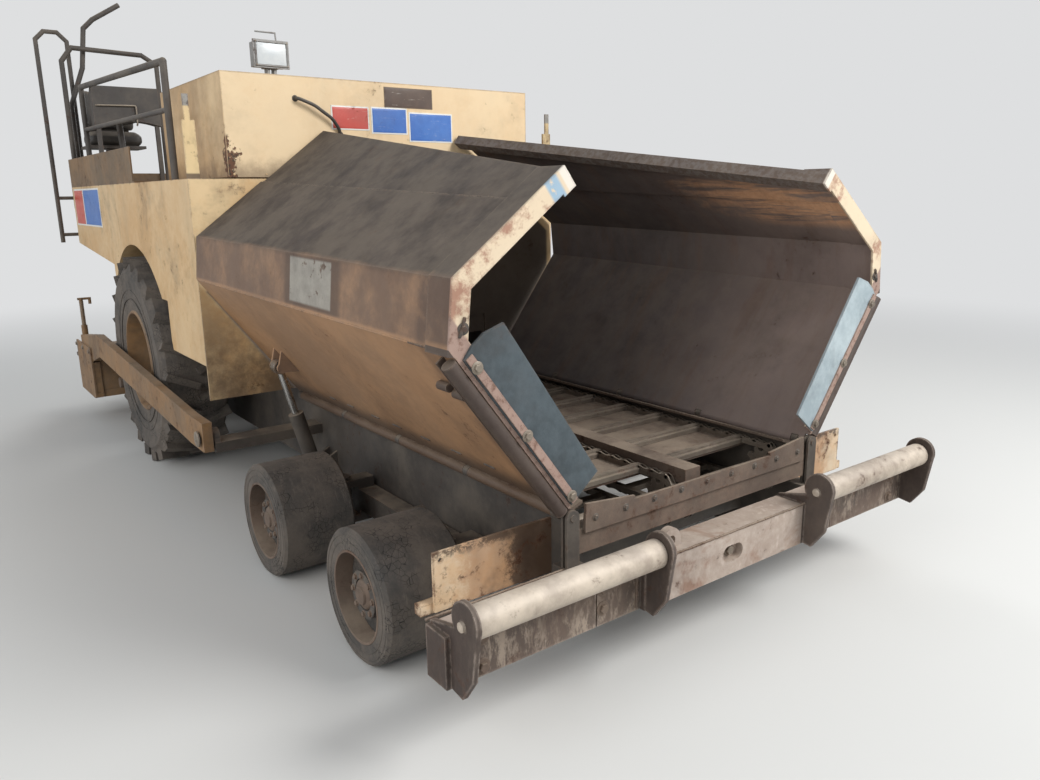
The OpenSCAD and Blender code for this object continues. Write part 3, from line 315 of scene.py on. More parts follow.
def ring(path_radius: float, radius: float, height: float = 0.0, flats: int = 48, sides: int = 8) -> Shape:
    """Torus round the z axis: a circle of the second radius carried round the first."""
    return lathe(circle(radius, sides)[:, :2] + [path_radius, height], flats, closed=True)


# ---- Finishes

def linear(colour: Colour) -> tuple:
    """Scene colour of a display colour given from 0 to 255."""
    c = np.asarray(colour, float) / 255
    return (*np.where(c < 0.04045, c / 12.92, ((c + 0.055) / 1.055) ** 2.4).tolist(), 1.0)


class Wire:
    """Number or colour that comes out of a node; sums and products with it add a Math node each."""

    def __init__(self, nodes: "Nodes", socket: bpy.types.NodeSocket) -> None:
        """Keeps the socket with its tree."""
        self.nodes, self.socket = nodes, socket

    def __add__(self, other: "Value") -> "Wire":
        """This number plus another."""
        return self.nodes.calc("ADD", self, other)

    def __sub__(self, other: "Value") -> "Wire":
        """This number less another."""
        return self.nodes.calc("SUBTRACT", self, other)

    def __rsub__(self, other: "Value") -> "Wire":
        """Another number less this one."""
        return self.nodes.calc("SUBTRACT", other, self)

    def __mul__(self, other: "Value") -> "Wire":
        """This number times another."""
        return self.nodes.calc("MULTIPLY", self, other)

    def __abs__(self) -> "Wire":
        """This number without its sign."""
        return self.nodes.calc("ABSOLUTE", self, 0.0)

    __radd__, __rmul__ = __add__, __mul__

    def rise(self, low: float, high: float) -> "Wire":
        """Smooth step from 0 at low to 1 at high; it falls where low is above high."""
        ends = {1: min(low, high), 2: max(low, high), 3: float(low > high), 4: float(low <= high)}
        return self.nodes.wire("MapRange", {0: self, **ends}, interpolation_type="SMOOTHSTEP")

    def band(self, low: float, high: float, soft: float = 0.01) -> "Wire":
        """1 between two values, with soft ends."""
        return self.rise(low - soft, low + soft) * self.rise(high + soft, high - soft)


Value = float | tuple | Wire | bpy.types.NodeSocket


class Nodes:
    """Node tree with short words for what the finishes and the studio share."""

    def __init__(self, tree: bpy.types.NodeTree) -> None:
        """Takes a tree over and empties it."""
        self.tree = tree
        tree.nodes.clear()

    def feed(self, socket: bpy.types.NodeSocket, value: Value) -> None:
        """Links an output to a socket, or sets the socket's own value.

        Args:
            socket: The input.
            value: Number, tuple or another node's output.
        """
        if isinstance(value, Wire):
            value = value.socket
        if isinstance(value, bpy.types.NodeSocket):
            self.tree.links.new(value, socket)
        else:
            socket.default_value = value

    def node(self, kind: str, values: dict, **settings) -> bpy.types.Node:
        """Adds a node.

        Args:
            kind: The node's type, without its common beginning.
            values: Socket by name or number, with a number, tuple or another node's output.
            **settings: Settings of the node itself.

        Returns:
            The node.
        """
        made = self.tree.nodes.new("ShaderNode" + kind)
        for key, value in settings.items():
            setattr(made, key, value)
        for key, value in values.items():
            self.feed(made.inputs[key], value)
        return made

    def wire(self, kind: str, values: dict, output: int | str = 0, **settings) -> Wire:
        """Adds a node and gives one of its outputs; the arguments are those of node()."""
        return Wire(self, self.node(kind, values, **settings).outputs[output])

    def calc(self, op: str, a: Value, b: Value) -> Wire:
        """One step of arithmetic."""
        return self.wire("Math", {0: a, 1: b}, operation=op)

    def most(self, *values: Value) -> Wire:
        """Largest of several numbers."""
        return functools.reduce(lambda a, b: self.calc("MAXIMUM", a, b), values)


class ShaderTree(Nodes):
    """Nodes of one material, with the colour and roughness that its finish works on."""

    def __init__(self, name: str, rough: float = 0.9) -> None:
        """Starts the material with its shader and its object coordinates.

        Args:
            name: The material's name.
            rough: Clean roughness.
        """
        self.material = bpy.data.materials.new(name)
        self.material.use_nodes = True
        super().__init__(self.material.node_tree)
        self.shader = self.node("BsdfPrincipled", {})
        self.out = self.node("OutputMaterial", {0: self.shader.outputs[0]})
        where = self.node("TexCoord", {}).outputs
        self.place = where["Object"]
        self.x, self.y, self.z = self.split(self.place)
        self.nx, self.ny, self.nz = self.split(where["Normal"])
        self.colour: Value = (128, 128, 128)
        self.rough: Value = rough

    def split(self, vector: Value) -> list[Wire]:
        """The three parts of a vector."""
        return [Wire(self, part) for part in self.node("SeparateXYZ", {0: vector}).outputs]

    def noise(self, scale: float, detail: float = 4.0, rough: float = 0.6, stretch: tuple = (1, 1, 1),
              warp: float = 0.0, shift: tuple = (0, 0, 0)) -> Wire:
        """Noise of the object's coordinates.

        Args:
            scale: Waves in a metre.
            detail: Octaves.
            rough: Share that each octave keeps.
            stretch: Factors of the coordinates; a small one draws the noise out.
            warp: How far the noise bends itself.
            shift: Place of the pattern's origin.

        Returns:
            A number round 0.5.
        """
        place = self.wire("Mapping", {"Vector": self.place, "Location": shift, "Scale": stretch})
        values = {"Vector": place, "Scale": scale, "Detail": detail, "Roughness": rough, "Distortion": warp}
        return self.wire("TexNoise", values)

    def cells(self, scale: float, feature: str = "F1") -> Wire:
        """Distance to the nearest of many scattered points, or to the edge between two."""
        return self.wire("TexVoronoi", {"Vector": self.place, "Scale": scale}, "Distance", feature=feature)

    def mix(self, share: Value, a: Value, b: Value) -> Wire:
        """Colour between a and b, each a display colour or another node's output."""
        tones = {key: linear(tone) if isinstance(tone, tuple) else tone for key, tone in ((6, a), (7, b))}
        return self.wire("Mix", {0: share, **tones}, 2, data_type="RGBA")

    def blend(self, share: Value, a: Value, b: Value) -> Wire:
        """Number between a and b."""
        return self.wire("Mix", {0: share, 2: a, 3: b}, data_type="FLOAT")

    def paint(self, share: Value, tone: Value) -> None:
        """Lays a colour over the surface where share is above 0."""
        self.colour = self.mix(share, self.colour, tone)

    def edges(self, radius: float) -> Wire:
        """Finds outer edges.

        Args:
            radius: How far from an edge they reach.

        Returns:
            1 at edges, 0 on flat faces.
        """
        soft = self.wire("Bevel", {"Radius": radius}, samples=4)
        flat = self.wire("NewGeometry", {}, "Normal")
        return self.wire("VectorMath", {0: soft, 1: flat}, "Value", operation="DOT_PRODUCT").rise(0.995, 0.86)

    def finish(self, rough: Value, metal: Value, height: Value, depth: float) -> None:
        """Connects the shader.

        Args:
            rough: Roughness.
            metal: Share of bare metal.
            height: Height of the grain, about 0 to 1.
            depth: Height of 1 in metres.
        """
        bump = self.wire("Bump", {"Height": height, "Distance": depth, "Strength": 1.0})
        sockets = {"Base Color": self.colour, "Roughness": rough, "Metallic": metal, "Normal": bump}
        for key, value in sockets.items():
            self.feed(self.shader.inputs[key], value)


@dataclass(frozen=True)
class Finish:
    """Weathered surface: two tones, run-down grime, rust from chips and edges, settled dust.

    Colour starts between the two tones by broad noise. Grime is noise drawn out along z,
    rust is fine noise over a threshold that edges lower, and dust lies where faces look up.
    """

    name: str
    base: Colour
    faded: Colour
    rough: float = 0.55
    metal: float = 0.0
    grime: float = 0.5
    grime_colour: Colour = (64, 54, 46)
    rust: float = 0.4
    rust_colour: Colour = (104, 62, 38)
    dust: float = 0.5
    dust_colour: Colour = (166, 150, 130)
    wear: float = 0.5
    wear_colour: Colour = (120, 105, 92)
    grain: float = 1.0
    tone_scale: float = 1.4
    nodes: tuple[str, ...] = ()

    def build(self) -> bpy.types.Material:
        """Makes the material: the two tones, the zones, then the weather.

        Returns:
            The material.
        """
        t = ShaderTree(self.name, self.rough)
        share = t.noise(self.tone_scale, 6, 0.65, warp=0.15) + (t.noise(24, 5, 0.7) - 0.5) * 0.35
        t.colour = t.mix(share.rise(0.36, 0.64), self.base, self.faded)
        self.zones(t)
        self.weathered(t)
        return t.material

    def zones(self, t: ShaderTree) -> None:
        """Adds what lies only at certain places; nothing here."""

    def weathered(self, t: ShaderTree) -> None:
        """Adds grime, rust, dust and bump.

        Args:
            t: The material's tree.
        """
        upright = abs(t.nz).rise(0.9, 0.5)
        runs = t.noise(3.5, 4, 0.55, stretch=(1, 1, 0.14), warp=0.15)
        blotch = t.noise(2.3, 5, 0.68, warp=0.2, shift=(3, 1, 2))
        chips = t.noise(15, 6, 0.74, warp=0.2, shift=(1, 5, 2))
        dirty = t.most(runs.rise(0.50, 0.80) * upright * 0.55, blotch.rise(0.46, 0.76)) * (chips * 0.9 + 0.45)
        t.paint(dirty * self.grime, self.grime_colour)
        edge = t.edges(0.012) if self.wear else 0.0
        t.paint(edge * chips.rise(0.38, 0.6) * self.wear, self.wear_colour)
        limit = 0.74 - 0.24 * self.rust
        spots = (chips * (blotch * 0.8 + 0.6) + edge * 0.08).rise(limit - 0.07, limit + 0.09)
        deep = tuple(int(c * 0.5) for c in self.rust_colour)
        t.paint(spots * min(1.0, 0.45 + self.rust), t.mix(chips.rise(0.4, 0.75), self.rust_colour, deep))
        settled = t.nz.rise(0.15, 0.85) * t.noise(5, 4, 0.7, shift=(2, 2, 2)).rise(0.25, 0.65)
        powder = t.most(settled, blotch.rise(0.6, 0.3) * 0.4) * self.dust
        t.paint(powder, self.dust_colour)
        rough = t.blend(t.most(spots, powder), t.rough, 0.88) + (chips - 0.5) * 0.25
        metal = (1 - t.most(spots, powder, dirty * self.grime)) * self.metal if self.metal else 0.0
        height = t.noise(70, 4, 0.8) * (0.5 + 0.5 * self.rust) + t.noise(3.1, 2, 0.5) * 2.4
        t.finish(rough, metal, height, 0.0011 * self.grain)


@dataclass
class WingPlaces:
    """Places on a wing, the share of its outside, and the two noises that its zones share."""

    u: Wire
    v: Wire
    y: Wire
    outside: Wire
    cloud: Wire
    specks: Wire


@dataclass(frozen=True)
class WingPaint(Finish):
    """Paint of a hopper wing: tan outside below, dark dirt with painted shade above, tar and rust inside.

    Places on the wing are worked out in the lowered wing's frame: u outwards from the
    hinge and v upwards, turned back by the angle through which it stands raised.
    """

    side: Side = Side.RIGHT
    front: float = 0.0
    poster: tuple[float, float] | None = None

    def zones(self, t: ShaderTree) -> None:
        """Works out the places and the shared noise, then adds the wing's own zones.

        Args:
            t: The material's tree.
        """
        ca, sa = WING_COS, WING_SIN
        px, pz = t.x * float(self.side.value) - HINGE[0], t.z - HINGE[1]
        lean = t.nx * float(self.side.value) * (ca + sa) + t.nz * (sa - ca)
        at = WingPlaces(px * ca + pz * sa, pz * ca - px * sa, t.y - self.front,
                        (lean - t.ny.rise(0.4, 0.8) * 2.0).rise(-0.1, 0.1), t.noise(4.5, 6, 0.70, warp=0.12),
                        t.noise(38, 4, 0.7, shift=(4, 4, 4)))
        upper = self.outer(t, at)
        front = at.y.rise(0.012, 0.004)
        inside = (1.0 - at.outside) * (1.0 - front)
        t.paint(inside * 0.95, self.tar(t, at))
        t.paint(front * 0.9, self.edge(t, at))
        studs = at.u.rise(0.48, 0.50) * at.y.rise(0.25, 0.24)
        bar = at.v.rise(0.0112, 0.0100) * t.most(studs, at.y.rise(0.10, 0.08)) * at.u.rise(0.02, 0.04)
        t.paint(bar * 0.92, t.mix(at.cloud, (30, 25, 23), (66, 52, 44)))
        t.rough = t.blend(t.most(inside, upper), t.rough, 0.8)
        if self.poster:
            self.paper(t, at, *self.poster)

    def outer(self, t: ShaderTree, at: WingPlaces) -> Wire:
        """Paints the outside.

        Args:
            t: The material's tree.
            at: Places on the wing.

        Returns:
            Share of the sooty part above fold B, darkened with painted shade.
        """
        t.paint(at.outside * at.v.rise(0.0135, 0.024) * at.cloud.rise(0.15, 0.6) * 0.85, (90, 68, 54))
        low = at.outside * at.v.rise(0.03, 0.0) * at.u.rise(0.62, 0.30) * at.specks.rise(0.56, 0.66)
        t.paint(low * at.cloud.rise(0.42, 0.6) * 0.7, (92, 68, 50))
        stain = at.outside * at.y.band(-0.01, 0.20, 0.02) * at.v.rise(-0.04, 0.05) * at.cloud.rise(0.25, 0.5)
        t.paint(stain * 0.7, (70, 50, 38))
        # Above fold B the outside is sooty dirt darkened further with painted shade, darkest above the lap.
        soot = t.mix(at.cloud.rise(0.3, 0.7), (38, 34, 32), (63, 55, 50))
        soot = t.mix((at.v - at.y * 0.035).rise(0.500, 0.512) * 0.5, soot, (36, 33, 33))
        upper = at.outside * (at.v + (at.cloud - 0.5) * 0.035).rise(0.140, 0.175)
        t.paint(upper * 0.94, soot)
        # Painted shade: darker near the hinge, where the wing's foot lies in shadow.
        t.paint(at.u.rise(0.16, 0.03) * at.v.rise(0.10, 0.03) * 0.85, (66, 52, 42))
        return upper

    def tar(self, t: ShaderTree, at: WingPlaces) -> Wire:
        """Mixes the colour of the inside.

        Args:
            t: The material's tree.
            at: Places on the wing.

        Returns:
            Tar, paler towards the front as painted light, bared where the load has rubbed, with a grey top
            rail; the bared paint is partly lightened with painted light.
        """
        burn = t.noise(9.0, 6, 0.72, stretch=(1, 0.10, 1), warp=0.15, shift=(6, 2, 1))
        streak = t.noise(2.2, 6, 0.7, stretch=(1, 4.5, 1), warp=0.3, shift=(1, 1, 9)).rise(0.46, 0.7)
        tar = t.mix(at.cloud, (48, 45, 47), (98, 91, 90))
        # Painted light: the tar turns paler grey towards the front.
        tar = t.mix(at.y.rise(1.4, 0.0) * 0.7, tar, (152, 134, 126))
        near = (at.y + (at.cloud - at.v) * 0.9).rise(0.95, 0.45)
        bare = near * at.v.band(0.30, 0.64, 0.05) * burn.rise(0.40, 0.54)
        # The rubbed paint is real; its pale tones are partly painted light.
        tar = t.mix(bare * 0.9, tar, t.mix(at.specks, (196, 138, 94), (238, 190, 150)))
        tar = t.mix(streak * 0.3, tar, (104, 72, 52))
        rail = (at.v - at.y * 0.16).rise(0.600, 0.612)
        return t.mix(rail * 0.85, tar, t.mix(at.specks.rise(0.4, 0.6), (104, 98, 94), (78, 66, 58)))

    def edge(self, t: ShaderTree, at: WingPlaces) -> Wire:
        """Mixes the colour of the front edge.

        Args:
            t: The material's tree.
            at: Places on the wing.

        Returns:
            Chipped cream, scraped on the near wing and rusty at the clamp strip.
        """
        flange = t.mix(at.cloud.rise(0.50, 0.60), (226, 206, 176), (168, 126, 104))
        flange = t.mix(at.v.rise(0.628, 0.636), flange, (232, 224, 210))
        if self.side is Side.RIGHT:
            scraped = at.v.band(0.566, 0.618, 0.006) * t.noise(26, 4, 0.7).rise(0.34, 0.44)
            flange = t.mix(scraped * 0.9, flange, (140, 178, 204))
        strip = t.mix(at.specks.rise(0.48, 0.70), (160, 134, 122), (112, 80, 66))
        return t.mix(at.v.rise(0.080, 0.072), flange, strip)

    def paper(self, t: ShaderTree, at: WingPlaces, start: float, end: float) -> None:
        """Paints a blank sheet with frayed edges.

        Args:
            t: The material's tree.
            at: Places on the wing.
            start: Where the sheet starts along the machine.
            end: Where it ends.
        """
        sheet = at.outside * at.y.band(start, end, 0.004) * at.v.band(0.03, 0.145, 0.004)
        frayed = t.noise(21, 6, 0.7, shift=(5, 1, 1)).rise(0.66, 0.58)
        smear = at.outside * at.y.band(start - 0.07, end + 0.05, 0.02) * at.v.band(0.020, 0.152, 0.005)
        t.paint(smear * at.cloud.rise(0.2, 0.4) * 0.8, (74, 54, 40))
        t.paint(sheet * frayed, t.mix(t.noise(16, 6, 0.7), (104, 98, 90), (172, 167, 156)))


@dataclass(frozen=True)
class HoodPaint(Finish):
    """Hood paint: cream, painted light on the front, painted shade at the sides, grimy at the foot, rusted
    through at one corner.
    """

    top: float = 2.27
    low: float = 1.76
    corner: tuple[float, float] = (-0.938, -0.446)

    def zones(self, t: ShaderTree) -> None:
        """Adds painted light to the front, painted shade to the sides, grime along the hood's foot and rust
        at its near corner.

        Args:
            t: The material's tree.
        """
        # Painted light: faces that look forward turn a lighter cream.
        t.paint(t.ny.rise(-0.2, -0.8) * 0.5, (232, 208, 170))
        # Painted shade: the side faces darken to brown in patches.
        shade = abs(t.nx).rise(0.5, 0.9) * t.noise(2.4, 6, 0.7, shift=(9, 1, 3)).rise(0.3, 0.65)
        t.paint(shade * 0.6, (150, 118, 82))
        ragged = t.z + (t.noise(6, 6, 0.7) - 0.5) * 0.2
        t.paint(ragged.rise(self.low + 0.12, self.low) * 0.6, (92, 70, 50))
        t.paint(t.z.rise(self.top - 0.012, self.top - 0.002) * t.noise(30, 6, 0.7) * 0.7, (110, 80, 54))
        torn = (t.x + t.y - sum(self.corner)) + (t.noise(13, 6, 0.78, shift=(7, 7, 1)) - 0.5) * 0.30
        torn = torn.rise(0.034, 0.022) * ragged.rise(self.low + 0.24, self.low + 0.20)
        t.paint(torn * 0.95, t.mix(t.cells(60).rise(0.2, 0.6), (38, 30, 27), (92, 56, 38)))
        t.rough = t.blend(torn, t.rough, 0.9)


@dataclass(frozen=True)
class BeamSteel(Finish):
    """Steel of the push beam: pale and scraped in the middle, flaking and darkened with painted shade at both
    ends.
    """

    middle: float = 0.455
    cheeks: tuple = ((0.430, 0.472), (1.208, 1.262))

    def zones(self, t: ShaderTree) -> None:
        """Darkens the ends and the cheeks of the roller brackets with painted shade.

        Args:
            t: The material's tree.
        """
        x = abs(t.x)
        flakes = t.noise(32, 6, 0.78, stretch=(1, 1, 0.35), warp=0.2, shift=(3, 3, 3))
        broad = t.noise(3.4, 5, 0.7, warp=0.4, shift=(8, 2, 5))
        # Painted shade on the ends, mixed with flaking paint; faces that look up stay clear of it.
        ends = x.rise(self.middle, self.middle + 0.01) * t.nz.rise(0.8, 0.4)
        dark = t.mix(flakes.rise(0.44, 0.60), (70, 55, 46), (150, 134, 118))
        t.paint(ends * 0.9, t.mix(broad.rise(0.42, 0.62), dark, (78, 58, 46)))
        t.paint((1.0 - ends) * flakes.rise(0.50, 0.66) * broad.rise(0.55, 0.35) * 0.6, (206, 190, 178))
        t.paint((1.0 - ends) * broad.rise(0.52, 0.66) * 0.7, (124, 84, 60))
        # Painted shade: the bracket cheeks darkened almost to black.
        cheek = t.most(*[x.band(low, high, 0.002) for low, high in self.cheeks])
        t.paint(cheek * 0.92, t.mix(flakes, (34, 28, 26), (72, 56, 48)))


@dataclass(frozen=True)
class GuardPaint(Finish):
    """Paint of the plates behind the beam's ends: cream outside, burnt orange, then painted shade inwards."""

    burnt: float = 1.02
    # Half width inside which the plates take painted shade.
    black: float = 0.82

    def zones(self, t: ShaderTree) -> None:
        """Darkens the plates towards the frame with painted shade, and with dark flecks near their top.

        Args:
            t: The material's tree.
        """
        flecks = t.noise(26, 6, 0.78, warp=0.2, shift=(5, 5, 5))
        ragged = abs(t.x) + (flecks - 0.5) * 0.30
        t.paint(ragged.rise(self.burnt + 0.05, self.burnt - 0.05) * 0.5, (182, 122, 72))
        edge = (t.z + (flecks - 0.5) * 0.08).rise(0.520, 0.555) * flecks.rise(0.42, 0.52)
        # Painted shade inwards, where the plates lie behind the flap, together with dark flecks near the top.
        t.paint(t.most(ragged.rise(self.black + 0.04, self.black - 0.04), edge) * 0.85, (62, 46, 37))


@dataclass(frozen=True)
class BulkheadPaint(Finish):
    """Paint of the wall behind the hopper: sooty between the wings, cream beside them, with painted shade low
    down.

    The soot ends at the lowest of the widest half width and two slanting lines, each
    given by its half width at a height and its slope.
    """

    floor: tuple[float, float, float] = (*HINGE, 0.73)
    side: tuple[float, float, float] = (1.095, 1.430, -1.153)
    widest: float = 1.10

    def zones(self, t: ShaderTree) -> None:
        """Darkens the lower wall with painted shade and blackens what the load has touched.

        Args:
            t: The material's tree.
        """
        half = self.widest
        for x, z, slope in (self.floor, self.side):
            half = t.calc("MINIMUM", half, (t.z - z) * slope + x)
        inner = (half - abs(t.x)).rise(-0.015, 0.01)
        soot = t.mix(t.noise(4.5, 6, 0.72, warp=0.5), (46, 42, 40), (92, 80, 70))
        # Painted shade: the wall darkens in patches towards the bottom.
        foot = t.z.rise(1.35, 0.75) * t.noise(3, 6, 0.7, shift=(2, 8, 4)).rise(0.3, 0.6)
        t.paint(foot * 0.8, (84, 66, 52))
        t.paint(inner * 0.95, soot)


@dataclass(frozen=True)
class DeckPaint(Finish):
    """Paint of the deck's edge plates: dirty brown, but cream on the thin post at their front."""

    post: float = 2.34

    def zones(self, t: ShaderTree) -> None:
        """Leaves the post cream below its grey bracket."""
        post = t.y.rise(self.post + 0.020, self.post + 0.016) * t.z.rise(1.775, 1.785)
        t.paint(post * 0.9, t.mix(t.z.rise(2.09, 2.10), (226, 198, 148), (150, 148, 142)))


@dataclass(frozen=True)
class TyreRubber(Finish):
    """Old solid rubber: dull grey-brown, finely cracked, with ground dust on the tread."""

    def weathered(self, t: ShaderTree) -> None:
        """Adds cracks, scuffs and dust.

        Args:
            t: The material's tree.
        """
        crack = t.cells(46, "DISTANCE_TO_EDGE").rise(0.05, 0.0) * t.noise(6, 4, 0.6).rise(0.48, 0.6)
        scuff = t.noise(13, 8, 0.75, stretch=(3, 1, 1), warp=0.4).rise(0.5, 0.68)
        dusty = t.noise(4.2, 7, 0.72, shift=(2, 7, 1)).rise(0.32, 0.66) * self.dust
        t.paint(scuff * 0.5, (112, 104, 96))
        t.paint(dusty, self.dust_colour)
        t.paint(crack, (26, 25, 24))
        height = t.noise(90, 5, 0.75) + scuff * 0.6 - crack * 1.2
        t.finish(t.blend(dusty, t.rough, 0.95), 0.0, height, 0.0012 * self.grain)


@dataclass(frozen=True)
class SignFace(Finish):
    """Blank sign: one enamel field inside a pale frame, chalky and scratched.

    The field is told from the frame by the piece's own attribute "field".
    """

    frame_colour: Colour = (222, 220, 212)

    def zones(self, t: ShaderTree) -> None:
        """Paints the frame round the field.

        Args:
            t: The material's tree.
        """
        inside = t.wire("Attribute", {}, "Fac", attribute_name="field")
        scratch = t.noise(70, 5, 0.7, stretch=(0.2, 1, 1.4), warp=0.5).rise(0.62, 0.7)
        t.colour = t.mix(inside.rise(0.45, 0.55), self.frame_colour, t.colour)
        t.paint(scratch * 0.5, (200, 192, 178))


# ---- Sub-assemblies

@dataclass
class Shop:
    """Finishes by name, the hopper's front plane, and what the run has built so far."""

    front: float
    finishes: dict[str, bpy.types.Material]
    pieces: int = 0

    def box(self, node: str) -> tuple[Array, Array]:
        """Lowest and highest corner of a CAD node in machine places."""
        return tuple(np.array(corner) - (0.0, self.front, 0.0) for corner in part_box(node))

    def add(self, name: str, shape: Shape, slot: Slot, body: str = "chassis",
            finish: str | None = None) -> bpy.types.Object:
        """Makes a piece, gives it its finish and lets it ride on a body.

        Args:
            name: The piece's name.
            shape: Machine places and faces.
            slot: Material slot that it takes its finish from.
            body: Body of the frame that carries it.
            finish: Name of another finish than the slot's own.

        Returns:
            The piece.
        """
        verts, faces = shape
        mesh = bpy.data.meshes.new(name)
        mesh.vertices.add(len(verts))
        mesh.vertices.foreach_set("co", (verts + (0.0, self.front, 0.0)).astype(np.float32).ravel())
        mesh.loops.add(faces.size)
        mesh.loops.foreach_set("vertex_index", faces.astype(np.int32).ravel())
        mesh.polygons.add(len(faces))
        mesh.polygons.foreach_set("loop_start", np.arange(0, faces.size, faces.shape[1], dtype=np.int32))
        mesh.update(calc_edges=True)
        mesh.validate()
        mesh.materials.append(self.finishes[finish or slot.value])
        mesh.polygons.foreach_set("use_smooth", np.ones(len(mesh.polygons), bool))
        mesh.set_sharp_from_angle(angle=SMOOTH)
        obj = bpy.data.objects.new(name, mesh)
        bpy.context.scene.collection.objects.link(obj)
        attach(obj, body)
        self.pieces += 1
        LOG.info("%s: %d faces on %s", name, len(mesh.polygons), body)
        return obj


@dataclass
class HopperWing:
    """Welds, bolts and burrs of one wing, laid out in the lowered wing's frame.

    A point there is its distance u from the hinge, its place y along the machine and its
    height v. A seam is its u at the front plane, its v there and at the wing's length, and
    its radius; the front seam is its u, its y and its two ends' v.
    """

    shop: Shop
    side: Side
    length: float = 2.3
    flare: float = 1.5
    seams: tuple = ((0.903, 0.511, 0.592, 0.0045), (0.751, 0.0125, 0.0125, 0.0045),
                    (0.886, 0.608, 0.978, 0.004))
    front_seam: tuple = (0.909, 0.132, 0.184, 0.499)
    plug_welds: tuple = (1.726, 1.533, 1.282, 1.084, 0.846, 0.615, 0.392)
    plug_spot: tuple[float, float] = (0.100, 0.0145)
    plug_half: float = 0.034
    clamp_bolts: tuple = (0.070, 0.370, 0.670)
    clamp_spot: tuple[float, float] = (-0.0161, 0.0435)

    def upright(self, shape: Shape) -> Shape:
        """Places a shape of the lowered wing's frame on the raised wing.

        Args:
            shape: Points (u, y, v) and faces.

        Returns:
            x = side (hinge + u cos a - v sin a) and z = hinge + u sin a + v cos a.
        """
        (u, y, v), faces = shape[0].T, shape[1]
        x = self.side.value * (HINGE[0] + u * WING_COS - v * WING_SIN)
        points = np.stack([x, y, HINGE[1] + u * WING_SIN + v * WING_COS], -1)
        return points, faces[:, ::-1] if self.side is Side.RIGHT else faces

    def welds(self) -> Shape:
        """Lays beads along the lap, the floor's outer edge and the top rail, and up the front edge.

        Returns:
            The beads as one shape.
        """
        y = np.array([0.14, self.length - 0.02])
        spread = y * math.tan(math.radians(self.flare))
        beads = [weld(*np.stack([u + spread, y, low + (high - low) * y / self.length], -1), radius, seed)
                 for seed, (u, low, high, radius) in enumerate(self.seams, 3)]
        u, y, low, high = self.front_seam
        return joined([*beads, weld((u, y, low), (u, y, high), 0.005, 6)])

    def plugs(self) -> Shape:
        """Lays the plug welds under the floor beside the hinge, as short flat beads.

        Returns:
            The beads as one shape.
        """
        (u, v), half = self.plug_spot, self.plug_half
        return joined([weld((u, y - half, v), (u, y + half, v), 0.0062, seed)
                       for seed, y in enumerate(self.plug_welds, 30)])

    def nicks(self) -> Shape:
        """Makes a bent burr and a washer where the flange was hit beside the slant's foot.

        Returns:
            Burr and washer as one shape.
        """
        torn = rounded([(0.772, -0.001, 0.060), (0.790, -0.006, 0.083), (0.806, -0.002, 0.110)], 24)
        wave = 0.004 + 0.0015 * np.sin(np.linspace(0, 9, 24))
        washer = copies(bolt(0.010, 1.9), [(0.784, -0.0002, 0.086)], FORWARD)
        return joined([tube_along(torn, wave, 8), washer])

    def build(self) -> None:
        """Makes the wing's pieces."""
        body = f"wing_{self.side.word}"
        bolts = copies(bolt(0.013), [(u, *self.clamp_spot) for u in self.clamp_bolts], FORWARD)
        pieces = (("welds", self.welds(), Slot.YELLOW, f"wing_paint_{self.side.word}"),
                  ("plug_welds", self.plugs(), Slot.DARK, None), ("bolts", bolts, Slot.BARE, None),
                  ("nicks", self.nicks(), Slot.DARK, None))
        for word, shape, slot, finish in pieces:
            self.shop.add(f"{body}_{word}", self.upright(shape), slot, body, finish)


@dataclass
class PushBeam:
    """Bolts, welds and roller ends at the machine's front."""

    shop: Shop
    front: float = -0.126
    bolts: tuple = ((0.640, 0.323), (0.640, 0.393), (1.123, 0.295), (1.123, 0.392))
    hole: tuple = (0.008, -0.117, 0.3475)
    seams_x: tuple = (-1.225, -0.485, 0.485, 1.225)
    top: float = 0.4325
    roller_cap: tuple = ((0.0155, 0.0), (0.0155, 0.003), (0.011, 0.006), (TIP, 0.0065))
    rim_inset: float = 0.03

    def rollers(self) -> None:
        """Makes the caps and the rims at both ends of each push roller."""
        low, high = self.shop.box("roller_left")
        centre = (low + high)[1:] / 2
        cap = lathe(self.roller_cap, 32)
        for side in Side:
            s, body = side.value, f"push_roller_{side.word}"
            ends = [(s * x, *centre) for x in (low[0], high[0])]
            rims = [(s * x, *centre) for x in (low[0] + self.rim_inset, high[0] - self.rim_inset)]
            for word, shape in (("ends", copies(cap, ends, [(-s, 0, 0), (s, 0, 0)])),
                                ("rims", copies(ring(0.0475, 0.0028), rims, (1, 0, 0)))):
                self.shop.add(f"roller_{side.word}_{word}", shape, Slot.BARE, body, "roller_steel")

    def build(self) -> None:
        """Makes the pieces of beam, sill and rollers."""
        spots = [(s * x, self.front, z) for s in (-1, 1) for x, z in self.bolts]
        self.shop.add("beam_bolts", copies(bolt(0.017), spots, FORWARD), Slot.RUSTY)
        pin = copies(bolt(0.019, 1.35), [self.hole], FORWARD)
        self.shop.add("beam_hole_pin", pin, Slot.BARE)
        low, high = self.shop.box("front_apron")
        row = [(x, low[1], 0.592) for x in np.linspace(low[0] + 0.07, high[0] - 0.07, 9)]
        self.shop.add("apron_bolts", copies(bolt(0.009), row, FORWARD), Slot.DARK)
        y = self.front - 0.002
        seams = [weld((x, y, 0.275), (x, y, 0.425), 0.006, seed) for seed, x in enumerate(self.seams_x, 11)]
        seams += [weld((start, y, self.top), (end, y, self.top), 0.005, seed)
                  for start, end, y, seed in ((-0.455, 0.455, -0.147, 20), (-1.24, -0.66, 0.0, 21))]
        self.shop.add("beam_welds", joined(seams), Slot.RUSTY)
        self.rollers()


